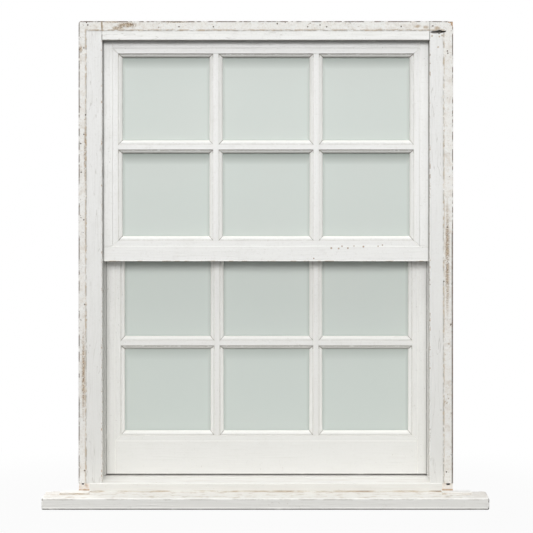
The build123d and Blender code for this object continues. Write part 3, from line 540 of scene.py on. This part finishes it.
def margin_paint():
    """Old oil paint under the wall's edge: cream, chalky, chipped to brown wood, dark at the arrises."""
    finish = bpy.context.scene.sash_colours
    material, place = begin_material("old_oil_paint")
    across = axes(place)
    pale = patches(place, 35, 0.4, 0.65)
    # water marks about 25 mm across, a fine brown mottle, and darker towards the bottom
    marks = patches(place, 25, 0.5, 0.75, 0.3)
    mottle = patches(place, 4, 0.52, 0.72, 0.28)
    darker_low = thinning((across["Z"], 800 * MM, 200 * MM, 0.14))
    # chips about 5 mm across, in clusters about 70 mm apart, dark in the middle
    clusters = patches(place, 70, 0.5, 0.6, detail=2.0)
    bare = patched(clusters, place, 5, 0.62, 0.68, 0.7)
    core = patched(clusters, place, 5, 0.68, 0.72, 0.8)
    cream = layered(finish.margin_coat, (pale, finish.head_coat), (marks, finish.stain),
                    (mottle, finish.stain), (darker_low, finish.grime_and_shade), (bare, finish.stain), (core, finish.rust))
    for x, z, half_x, half_z, grainy in RUST_SPOTS:
        rusted = spot(place, (x, 0, z), (half_x, 30, half_z))
        cream = layered(cream, (patched(rusted, place, 9, 0.3, 0.55, 0.7), finish.stain),
                        (speckled(rusted, place, 2.6, grainy), finish.rust))
    # dark dashes on the arrises, unbroken on the lower right one
    left = reckon(place, "LESS_THAN", across["X"], 2.4 * MM - FRAME_HALF)
    top = reckon(place, "GREATER_THAN", across["Z"], FRAME_TOP - 2.4 * MM)
    right = reckon(place, "GREATER_THAN", across["X"], FRAME_HALF - 2.2 * MM)
    dashes = patched(highest(left, top, right), place, 24, 0.44, 0.54, 0.9)
    unbroken = patched(boxed(place, LOW_RIGHT_ARRIS), place, 30, 0.25, 0.45, 0.8)
    dark = layered(finish.soot_and_shade, (patches(place, 12, 0.4, 0.6), finish.rust))
    # brown seep along the inner line and beside the left joint of the head
    past = margin_distance(place)
    inner = thinning((past, 3.2 * MM, 0.8 * MM, 1.0))
    aside = reckon(place, "SUBTRACT", -LINING_EDGE, across["X"])
    aside = reckon(place, "ABSOLUTE", aside)
    beside = thinning((aside, 3.0 * MM, 1.0 * MM, 1.0))
    cream = layered(cream, (highest(dashes, unbroken), dark),
                    (patched(inner, place, 22, 0.36, 0.56, 0.65), finish.stain),
                    (patched(beside, place, 8, 0.3, 0.6, 0.85), finish.stain))
    height = reckon(place, "SUBTRACT", patches(place, 8, 0.4, 0.7), bare)
    return surfaced(material, cream, 0.62, height, 0.4)


def sill_paint():
    """Thick paint on weathered timber: slopes painted bright as highlight, the sub-sill's front painted
    darker as shade, brown dirt in the joint, bare pine at the cut ends.
    """
    finish = bpy.context.scene.sash_colours
    material, place = begin_material("weathered_sill_paint")
    across = axes(place)
    # the sub-sill's front, below the slope, takes a darker coat as painted shade
    high = add(place, "MapRange", {"Value": across["Z"], "From Min": 25 * MM, "From Max": 34 * MM})
    front = layered(finish.shaded_nose_coat, (high, finish.sill_coat))
    paint, height = weathered_coat(place, front, "X")
    drawn, streaks = (add(place, "Mapping", {"Vector": place, "Scale": stretched("X", share)})
                      for share in (0.45, 0.15))
    # water marks on the slope of the sub-sill, over an even yellowing
    marks = reckon(place, "ADD", patches(drawn, 10, 0.48, 0.75, 0.45), 0.07)
    marks = reckon(place, "MULTIPLY", boxed(place, SUB_SILL_SLOPE), marks)
    paint = layered(paint, (marks, finish.stain))
    # the stools are cleaner than the horns beside them
    for x, stool in zip(STOOLS, STOOL_TOPS):
        horn = spot(place, (x * 1.12, -30, 30), (48, 34, 12))
        paint = layered(paint, (patched(horn, drawn, 14, 0.3, 0.6, 0.16), finish.stain),
                        (boxed(place, stool), finish.clean_and_highlight))
    # water has yellowed the sill's slope in long pale marks
    wet = patched(boxed(place, SILL_SLOPE), streaks, 12, 0.45, 0.7, 0.15)
    paint = layered(paint, (wet, finish.stain))
    # brown streaks in the joint under the sill and along the front of the stools
    for box in [SILL_JOINT] + STOOL_FRONTS:
        line = boxed(place, box)
        paint = layered(paint, (patched(line, streaks, 6, 0.42, 0.62, 0.7), finish.stain),
                        (patched(line, streaks, 6, 0.62, 0.7, 0.4), finish.rust))
    # the front of the sub-sill: a painted highlight on the rounded drip edge, a dull top arris, painted shade
    # at the foot, and soot on the horns' ends
    worn = patched(boxed(place, DRIP_EDGE), drawn, 60, 0.2, 0.6, 0.5)
    arris = patched(boxed(place, SUB_SILL_ARRIS), drawn, 14, 0.42, 0.62, 0.35)
    drip = patched(boxed(place, DRIP_FOOT), drawn, 20, 0.2, 0.5, 0.75)
    ends = reckon(place, "SUBTRACT", 1.0, boxed(place, BETWEEN_HORN_ENDS))
    for reach, limit in ((across["Z"], 33.8 * MM), (across["Y"], -55 * MM)):
        short = reckon(place, "LESS_THAN", reach, limit)
        ends = reckon(place, "MULTIPLY", ends, short)
    ends = patched(ends, place, 9, 0.52, 0.62, 0.8)
    paint = layered(paint, (worn, finish.clean_and_highlight), (arris, finish.grime_and_shade), (drip, finish.soot_and_shade),
                    (ends, finish.soot_and_shade))
    # cut ends that the wall covered: pale wood, orange brown at the foot, and the pockets painted black as
    # the shade inside them
    wood = layered(finish.pine, (patches(place, 16, 0.1, 0.5, 0.88), finish.margin_coat))
    for left, right in SILL_ENDS:
        cut, foot = (boxed(place, ((left, -3, 33.5), (right, 24, top))) for top in (66, 37.5))
        paint = layered(paint, (cut, wood), (patched(foot, place, 14, 0.25, 0.6, 0.8), finish.pine))
    for (left, right), floor in POCKETS:
        pocket = ((left - 0.3, 4.6, floor - 0.3), (right + 0.3, 24, 60))
        paint = layered(paint, (boxed(place, pocket), finish.soot_and_shade))
    return surfaced(material, paint, 0.45, height, 1.2)


def etched_glass(sash):
    """Etched glass, a faint green: it takes soft shadows like paper and shows nothing behind."""
    finish = bpy.context.scene.sash_colours
    material, place = begin_material(f"etched_glass_of_{sash}_sash")
    tired = patches(place, 180, 0.4, 0.7, 0.1)
    # a darkening that thins out from the edges, heaviest at the top of the upper sash's panes: painted shade
    # under the beads and rails, with some dirt
    side, below, above = outside_pane(place, sash)
    heaviest = {"upper": 0.8, "lower": 0.3}[sash]
    film_and_shade = thinning((above, -26 * MM, 0.0, heaviest), (side, -7 * MM, 0.0, 0.28), (below, -4 * MM, 0.0, 0.25))
    tint = layered(finish.glass, (tired, finish.tired), (film_and_shade, finish.film_and_shade))
    # etch about 1 mm across, coarser than the real one so that it shows
    return surfaced(material, tint, 0.38, patches(place, 1.2, 0.3, 0.7), 0.02,
                    **{"IOR": 1.52, "Transmission Weight": 0.12})


def metal(name, tone, roughness, wear_mm):
    """Plated or lacquered metal: a clear highlight with faint rubbed patches."""
    material, place = begin_material(name)
    dull = [channel * 0.72 for channel in tone[:3]] + [1.0]
    rubbed = patches(place, wear_mm, 0.4, 0.7)
    gloss = add(place, "MapRange", {"Value": rubbed, "To Min": roughness, "To Max": roughness + 0.15})
    return surfaced(material, layered(tone, (rubbed, dull)), gloss, rubbed, 0.02, Metallic=1.0)


def handled_skin(name, tone, roughness):
    """Nylon or stoved enamel: an even skin with slight dulling from handling."""
    material, place = begin_material(name)
    handled = patches(place, 25, 0.45, 0.7, 0.4)
    shade = layered(tone, (handled, bpy.context.scene.sash_colours.tired))
    return surfaced(material, shade, roughness, patches(place, 2, 0.3, 0.7), 0.03)


def rusted_iron():
    """Cut nail heads: dark, matt, rust in the pits."""
    finish = bpy.context.scene.sash_colours
    material, place = begin_material("rusted_iron")
    pits = patches(place, 1.5, 0.4, 0.65)
    return surfaced(material, layered(finish.soot_and_shade, (pits, finish.rust)), 0.8, pits, 0.15)


def new_verts(extruded):
    """The vertices that an extrusion added."""
    return [part for part in extruded["geom"] if isinstance(part, bmesh.types.BMVert)]


def finish_piece(bm, name, body, material, slot, *nodes):
    """Makes an object of a mesh, lets it ride on its body and stand for its nodes."""
    mesh = bpy.data.meshes.new(name)
    bm.normal_update()
    bm.to_mesh(mesh)
    bm.free()
    mesh.materials.clear()
    mesh.materials.append(material)
    piece = bpy.data.objects.new(name, mesh)
    bpy.context.scene.collection.objects.link(piece)
    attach(piece, body)
    if nodes:
        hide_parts(*nodes)


def timber_pieces(material, slot, *nodes):
    """Copies of timber nodes with their long arrises worn round, in place of the nodes."""
    arris = bpy.context.scene.sash_sizes.arris
    for node in nodes:
        source = frame["nodes"][node]
        bm = bmesh.new()
        bm.from_mesh(source.data)
        bmesh.ops.remove_doubles(bm, verts=bm.verts, dist=0.01 * MM)
        bmesh.ops.dissolve_limit(bm, angle_limit=math.radians(0.5), use_dissolve_boundaries=False,
                                 verts=bm.verts, edges=bm.edges)
        sharp = [edge for edge in bm.edges if edge.is_manifold and edge.is_convex
                 and edge.calc_face_angle() > SHARP and edge.calc_length() > LONG]
        bmesh.ops.bevel(bm, geom=sharp, offset=arris, offset_type="OFFSET", segments=2, profile=0.5,
                        affect="EDGES", material=-1, clamp_overlap=True)
        bmesh.ops.dissolve_degenerate(bm, dist=SPLINTER, edges=bm.edges)
        # only the narrow faces that the bevel made shade smoothly
        for face in bm.faces:
            narrow = face.calc_area() < 2 * MM * max(edge.calc_length() for edge in face.edges)
            face.smooth = narrow and any(edge.calc_face_angle(0) < math.radians(25) for edge in face.edges)
            face.material_index = 0
        finish_piece(bm, node + "_timber", source["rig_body"], material, slot, node)


def dress_nodes(material, *nodes):
    """Gives CAD nodes their material."""
    for node in nodes:
        for slot in frame["nodes"][node].material_slots:
            slot.material = material


class FrameTimber(bpy.types.Operator):
    """Paint the jambs, the head and the linings on the room side"""
    bl_idname = "sash_window.frame_timber"
    bl_label = "Frame timber"

    def execute(self, context):
        coat = context.scene.sash_colours.frame_coat
        upright = gloss_paint("gloss_paint_on_upright_frame", coat, "Z")
        level = gloss_paint("gloss_paint_on_level_frame", coat, "X")
        timber_pieces(upright, "frame_paint", "left_jamb", "right_jamb",
                      "left_inside_lining", "right_inside_lining")
        timber_pieces(level, "frame_paint", "head", "head_inside_lining")
        return {"FINISHED"}


class OutsideLinings(bpy.types.Operator):
    """Paint the linings on the outside, with dirt where the wall ended"""
    bl_idname = "sash_window.outside_linings"
    bl_label = "Outside linings"

    def execute(self, context):
        finish = context.scene.sash_colours
        upright = lining_paint("gloss_paint_on_side_linings", "Z", finish.frame_coat)
        level = lining_paint("gloss_paint_on_head_lining", "X", finish.head_coat)
        timber_pieces(upright, "frame_paint", "left_outside_lining", "right_outside_lining")
        timber_pieces(level, "frame_paint", "head_outside_lining")
        return {"FINISHED"}


class MarginPaint(bpy.types.Operator):
    """Build the thick old paint that the wall used to cover, with its ragged edge"""
    bl_idname = "sash_window.margin_paint"
    bl_label = "Margin paint"

    def execute(self, context):
        material = margin_paint()
        inset = 0.5 * MM
        outer = FRAME_HALF - inset
        top = FRAME_TOP - inset
        joint = LINING_EDGE - JOINT_GAP
        side = LINING_EDGE + JOINT_GAP
        self.slab("left_margin_paint", (-outer, -side), (FRAME_FOOT, top), material)
        self.slab("right_margin_paint", (side, outer), (FRAME_FOOT, top), material)
        foot = MARGIN_HEAD - context.scene.sash_sizes.ragged
        self.slab("head_margin_paint", (-joint, joint), (foot, top), material)
        return {"FINISHED"}

    def slab(self, name, x_span, z_span, material):
        """A thin slab on the lining's face, uneven in front, ragged at the newer coat and flaked."""
        build = bpy.context.scene.sash_sizes.margin_build
        width = x_span[1] - x_span[0]
        height = z_span[1] - z_span[0]
        columns, rows = round(width / MARGIN_PITCH), round(height / MARGIN_PITCH)
        bm = bmesh.new()
        bmesh.ops.create_grid(bm, x_segments=columns, y_segments=rows, size=0.5)
        bmesh.ops.scale(bm, vec=(width, height, 1), verts=bm.verts)
        bmesh.ops.rotate(bm, matrix=Matrix.Rotation(math.radians(90), 3, "X"), verts=bm.verts)
        middle = Vector((sum(x_span) / 2, LINING_FACE, sum(z_span) / 2))
        bmesh.ops.translate(bm, vec=middle, verts=bm.verts)
        if bm.faces[:][0].normal.y > 0:
            bmesh.ops.reverse_faces(bm, faces=bm.faces)
        bare = [face for face in bm.faces if self.flaked(face.calc_center_median())]
        bmesh.ops.delete(bm, geom=bare, context="FACES")
        for vert in bm.verts:
            place = vert.co.copy()
            within = min(place.x - x_span[0], x_span[1] - place.x, place.z - z_span[0], z_span[1] - place.z)
            if vert.is_boundary and within > 0.01 * MM:
                vert.co.x += noise.noise(place * EDGE_TATTERS) * MARGIN_PITCH
                vert.co.z += noise.noise(place * EDGE_TATTERS + Vector((7, 0, 0))) * MARGIN_PITCH
            lumps = noise.noise(place * FACE_LUMPS) * 0.3 + noise.noise(place * FACE_GRIT) * 0.15
            vert.co.y -= build * (1 + lumps)
        back = bmesh.ops.extrude_face_region(bm, geom=bm.faces[:])
        for vert in new_verts(back):
            vert.co.y = LINING_FACE + 0.3 * MM
        bmesh.ops.recalc_face_normals(bm, faces=bm.faces)
        finish_piece(bm, name, "frame", material, "frame_paint")

    def flaked(self, place):
        """Whether the old coat has come off here, or the newer coat lies over it."""
        ragged = bpy.context.scene.sash_sizes.ragged
        wander = (noise.noise(place * EDGE_WAVES) + 0.7 * noise.noise(place * EDGE_TATTERS)) * ragged
        if MARGIN_LEFT + wander < place.x < MARGIN_RIGHT + wander and place.z < MARGIN_HEAD + wander:
            return True
        x, z = place.x / MM, place.z / MM
        if self.inside(GASH, x, z) or self.inside(SPLIT_CORNER, x, z):
            return True
        corner_x, corner_z, radius = WORN_CORNER
        if x < corner_x and z > corner_z and math.hypot(x - corner_x, z - corner_z) > radius - 0.5:
            return True
        # chips are likelier near the outer edges
        from_edge = min(FRAME_HALF - abs(place.x), FRAME_TOP - place.z) / MM
        chip = noise.noise(place * CHIP_SIZE) + 0.6 * noise.noise(place * CHIP_RIM)
        return chip > 0.62 + 0.035 * min(from_edge, 12)

    def inside(self, outline, x, z):
        """Whether a point is inside an outline."""
        crossings = 0
        for (x0, z0), (x1, z1) in zip(outline, outline[1:] + outline[:1]):
            if (z0 > z) != (z1 > z) and x < x0 + (x1 - x0) * (z - z0) / (z1 - z0):
                crossings += 1
        return crossings % 2 == 1


class Nails(bpy.types.Operator):
    """Drive the cut nails that hold the linings"""
    bl_idname = "sash_window.nails"
    bl_label = "Nails"

    def execute(self, context):
        sizes = context.scene.sash_sizes
        upright = Matrix.Rotation(math.radians(90), 4, "X")
        bm = bmesh.new()
        for x, z in NAILS:
            face = LINING_FACE
            if x * MM < MARGIN_LEFT or x * MM > MARGIN_RIGHT or z * MM > MARGIN_HEAD:
                face -= sizes.margin_build
            place = Matrix.Translation((x * MM, face + 0.2 * MM, z * MM))
            head = bmesh.ops.create_cone(bm, cap_ends=True, segments=10, radius1=sizes.nail * 0.6,
                                         radius2=sizes.nail, depth=1.6 * MM, matrix=place @ upright)
            edges = dict.fromkeys(edge for vert in head["verts"] for edge in vert.link_edges)
            rim = [edge for edge in edges if edge.calc_length() < sizes.nail]
            bmesh.ops.bevel(bm, geom=rim, offset=0.25 * MM, offset_type="OFFSET", segments=1, profile=0.5,
                            affect="EDGES", material=-1)
        bmesh.ops.recalc_face_normals(bm, faces=bm.faces)
        finish_piece(bm, "lining_nails", "frame", rusted_iron(), "screw_steel")
        return {"FINISHED"}


class Beads(bpy.types.Operator):
    """Paint the parting beads and the staff beads"""
    bl_idname = "sash_window.beads"
    bl_label = "Beads"

    def execute(self, context):
        coat = context.scene.sash_colours.frame_coat
        upright = gloss_paint("gloss_paint_on_upright_beads", coat, "Z")
        level = gloss_paint("gloss_paint_on_level_beads", coat, "X")
        dress_nodes(upright, "left_parting_bead", "right_parting_bead", "left_staff_bead", "right_staff_bead")
        dress_nodes(level, "head_parting_bead", "head_staff_bead", "sill_staff_bead")
        return {"FINISHED"}


class Sills(bpy.types.Operator):
    """Paint and weather the sill and the sub-sill"""
    bl_idname = "sash_window.sills"
    bl_label = "Sills"

    def execute(self, context):
        timber_pieces(sill_paint(), "sill_paint", "sill", "sub_sill")
        return {"FINISHED"}


class SashTimber(bpy.types.Operator):
    """Paint the stiles, rails and glazing bars of both sashes"""
    bl_idname = "sash_window.sash_timber"
    bl_label = "Sash timber"

    def execute(self, context):
        coat = context.scene.sash_colours.sash_coat
        level = gloss_paint("gloss_paint_on_rails", coat, "X", wear_and_shade=True)
        upright = gloss_paint("gloss_paint_on_stiles", coat, "Z", wear_and_shade=True)
        for sash in ("upper", "lower"):
            for part in ("left_stile", "right_stile", "left_bar", "right_bar"):
                timber_pieces(upright, "sash_paint", f"{sash}_{part}")
            timber_pieces(level, "sash_paint", f"{sash}_meeting_rail", f"{sash}_cross_bars")
        timber_pieces(level, "sash_paint", "upper_top_rail", "lower_bottom_rail")
        return {"FINISHED"}


class Glazing(bpy.types.Operator):
    """Finish the panes and the glazing beads"""
    bl_idname = "sash_window.glazing"
    bl_label = "Glazing"

    def execute(self, context):
        coat = context.scene.sash_colours.sash_coat
        for sash in ("upper", "lower"):
            dress_nodes(etched_glass(sash), f"{sash}_panes")
            bead = gloss_paint(f"gloss_paint_on_{sash}_glazing_beads", coat, "Z", mitred=sash)
            dress_nodes(bead, f"{sash}_glazing_beads")
        return {"FINISHED"}


class Balances(bpy.types.Operator):
    """Finish the spiral balances"""
    bl_idname = "sash_window.balances"
    bl_label = "Balances"

    def execute(self, context):
        finish = context.scene.sash_colours
        zinc = metal("zinc_plated_steel", finish.zinc, 0.35, 12)
        enamel = handled_skin("stoved_enamel", finish.enamel, 0.3)
        nylon = handled_skin("nylon", finish.nylon, 0.5)
        for balance in ("upper_left", "upper_right", "lower_left", "lower_right"):
            dress_nodes(enamel, f"{balance}_balance_tube")
            dress_nodes(zinc, f"{balance}_balance_strip")
            dress_nodes(nylon, f"{balance}_balance_bush")
        dress_nodes(nylon, "balance_plugs")
        dress_nodes(zinc, "upper_balance_feet", "lower_balance_feet", "balance_springs", "balance_screws")
        return {"FINISHED"}


class Fittings(bpy.types.Operator):
    """Finish the fastener and the lifts, and drive their screws"""
    bl_idname = "sash_window.fittings"
    bl_label = "Fittings"

    def execute(self, context):
        brass = metal("lacquered_brass", context.scene.sash_colours.brass, 0.25, 18)
        dress_nodes(brass, "fastener_base", "fastener_lever", "fastener_keeper", "sash_lifts")
        low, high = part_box("fastener_base")
        screws = [(x, (low.y + high.y) / 2, low.z + 3 * MM) for x in (low.x + 8 * MM, high.x - 8 * MM)]
        self.drive("fastener_base_screws", screws, "Z", "lower_sash", brass)
        low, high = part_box("fastener_keeper")
        screws = [(x, high.y - 6.5 * MM, low.z + 2.5 * MM) for x in (low.x + 4.5 * MM, high.x - 4.5 * MM)]
        self.drive("keeper_screws", screws, "Z", "upper_sash", brass)
        low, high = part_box("sash_lifts")
        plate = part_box("lower_bottom_rail")[1].y + 2.5 * MM
        screws = [(middle + side, plate, high.z - 7 * MM) for middle in (low.x + 20 * MM, high.x - 20 * MM)
                  for side in (-13 * MM, 13 * MM)]
        self.drive("lift_screws", screws, "Y", "lower_sash", brass)
        return {"FINISHED"}

    def drive(self, name, screws, facing, body, material):
        """Slotted countersunk heads, flush with the plate that they hold."""
        radius = bpy.context.scene.sash_sizes.screw
        tilt = Matrix.Rotation(math.radians(-90 if facing == "Y" else 0), 4, "X")
        bm = bmesh.new()
        for centre in screws:
            head = bmesh.new()
            bmesh.ops.create_circle(head, cap_ends=True, segments=20, radius=radius)
            for offset in (-SLOT_HALF, SLOT_HALF):
                bmesh.ops.bisect_plane(head, geom=head.verts[:] + head.edges[:] + head.faces[:],
                                       plane_co=(offset, 0, 0), plane_no=(1, 0, 0))
            slot = [face for face in head.faces if abs(face.calc_center_median().x) < 0.1 * MM]
            sunk = bmesh.ops.extrude_face_region(head, geom=slot)
            bmesh.ops.translate(head, vec=(0, 0, -SLOT_DEPTH), verts=new_verts(sunk))
            bmesh.ops.delete(head, geom=[face for face in slot if face.is_valid], context="FACES_ONLY")
            skirt = bmesh.ops.extrude_edge_only(head, edges=[edge for edge in head.edges if edge.is_boundary])
            bmesh.ops.translate(head, vec=(0, 0, -SCREW_SKIRT), verts=new_verts(skirt))
            bmesh.ops.holes_fill(head, edges=[edge for edge in head.edges if edge.is_boundary])
            bmesh.ops.translate(head, vec=(0, 0, SCREW_RISE), verts=head.verts)
            # each slot stops at its own angle
            turn = Matrix.Rotation(math.radians(37 * len(bm.verts) % 180), 4, "Z")
            bmesh.ops.transform(head, matrix=Matrix.Translation(centre) @ tilt @ turn, verts=head.verts)
            mesh = bpy.data.meshes.new("screw")
            head.to_mesh(mesh)
            head.free()
            bm.from_mesh(mesh)
            bpy.data.meshes.remove(mesh)
        bmesh.ops.recalc_face_normals(bm, faces=bm.faces)
        finish_piece(bm, name, body, material, "brass_fittings")


class Stage(bpy.types.Operator):
    """Set up the floor, the light and the camera"""
    bl_idname = "sash_window.stage"
    bl_label = "Stage"

    def execute(self, context):
        scene = context.scene
        stage = scene.sash_stage
        scene.view_settings.view_transform = "Standard"
        self.floor(scene)
        self.sky(scene)
        self.soft_light("key_light", -1.5, 16, 20, stage.key)
        self.soft_light("top_light", -20, 74, 40, stage.top)
        self.soft_light("back_light", 225, 25, 40, stage.back)
        data = bpy.data.cameras.new("camera")
        camera = bpy.data.objects.new("camera", data)
        scene.collection.objects.link(camera)
        camera.location = (stage.camera_x, -stage.camera_distance, stage.camera_height)
        camera.rotation_euler = (math.radians(90), 0, 0)
        data.sensor_width = 36
        data.lens = stage.lens
        data.shift_x = stage.shift
        scene.camera = camera
        return {"FINISHED"}

    def seen(self, tree):
        """1 for rays that see the studio itself: straight, mirrored or through glass."""
        path = add(tree, "LightPath").node.outputs
        return highest(*(path[f"Is {ray} Ray"] for ray in ("Glossy", "Transmission", "Camera")))

    def floor(self, scene):
        """A pale floor that reads as white and still takes the window's shadow."""
        bm = bmesh.new()
        bmesh.ops.create_grid(bm, x_segments=1, y_segments=1, size=8)
        mesh = bpy.data.meshes.new("floor")
        bm.to_mesh(mesh)
        bm.free()
        floor = bpy.data.objects.new("floor", mesh)
        scene.collection.objects.link(floor)
        material, place = begin_material("studio_floor")
        tree = place.id_data
        matt = tree.nodes["Principled BSDF"]
        fill(matt, {"Base Color": scene.sash_colours.floor, "Roughness": 0.9})
        glow = add(tree, "Emission", {"Color": (1, 1, 1, 1), "Strength": 1.0})
        # plain white away from the window, so that no edge of the floor shows
        reach = add(tree, "VectorMath", {0: place}, "Value", operation="LENGTH")
        away = add(tree, "MapRange", {"Value": reach, "From Min": 0.55, "From Max": 1.3, "To Min": 0.95,
                                      "To Max": 1.0}, interpolation_type="SMOOTHSTEP")
        share = reckon(tree, "MULTIPLY", self.seen(tree), away)
        blend = add(tree, "MixShader", {0: share, 1: matt.outputs["BSDF"], 2: glow})
        tree.links.new(blend, tree.nodes["Material Output"].inputs["Surface"])
        mesh.materials.append(material)

    def sky(self, scene):
        """Even light from all round, seen as white."""
        world = bpy.data.worlds.new("studio")
        scene.world = world
        world.use_nodes = True
        tree = world.node_tree
        lit = add(tree, "Background", {"Color": (1, 1, 1, 1), "Strength": scene.sash_stage.sky})
        white = add(tree, "Background", {"Color": (1, 1, 1, 1), "Strength": 1.0})
        blend = add(tree, "MixShader", {0: self.seen(tree), 1: lit, 2: white})
        tree.links.new(blend, tree.nodes["World Output"].inputs["Surface"])

    def soft_light(self, name, azimuth, elevation, spread, strength):
        """A broad even light from one direction; azimuth 0 is from straight in front."""
        data = bpy.data.lights.new(name, "SUN")
        data.angle = math.radians(spread)
        data.energy = strength
        lamp = bpy.data.objects.new(name, data)
        bpy.context.scene.collection.objects.link(lamp)
        turn, rise = math.radians(azimuth), math.radians(elevation)
        source = Vector((math.sin(turn) * math.cos(rise), -math.cos(turn) * math.cos(rise), math.sin(rise)))
        lamp.location = source * 4
        lamp.rotation_euler = source.to_track_quat("Z", "Y").to_euler()


GROUPS = {"sash_colours": SashWindowColours, "sash_sizes": SashWindowSizes, "sash_stage": SashWindowStage}
STEPS = (FrameTimber, OutsideLinings, MarginPaint, Nails, Beads, Sills, SashTimber, Glazing, Balances,
         Fittings, Stage)


class SashWindowPanel(bpy.types.Panel):
    """Lists the steps that dress the window"""
    bl_idname = "VIEW3D_PT_sash_window"
    bl_label = "Sash Window"
    bl_space_type = "VIEW_3D"
    bl_region_type = "UI"
    bl_category = "Sash Window"

    def draw(self, context):
        for name, group in GROUPS.items():
            for key in group.__annotations__:
                self.layout.prop(getattr(context.scene, name), key)
        for step in STEPS:
            self.layout.operator(step.bl_idname)


CLASSES = (*GROUPS.values(), *STEPS, SashWindowPanel)


def register():
    for cls in CLASSES:
        bpy.utils.register_class(cls)
    for name, group in GROUPS.items():
        setattr(bpy.types.Scene, name, PointerProperty(type=group))


def unregister():
    for name in GROUPS:
        delattr(bpy.types.Scene, name)
    for cls in reversed(CLASSES):
        bpy.utils.unregister_class(cls)


def main():
    register()
    for step in STEPS:
        family, name = step.bl_idname.split(".")
        getattr(getattr(bpy.ops, family), name)()


if __name__ == "__main__":
    main()
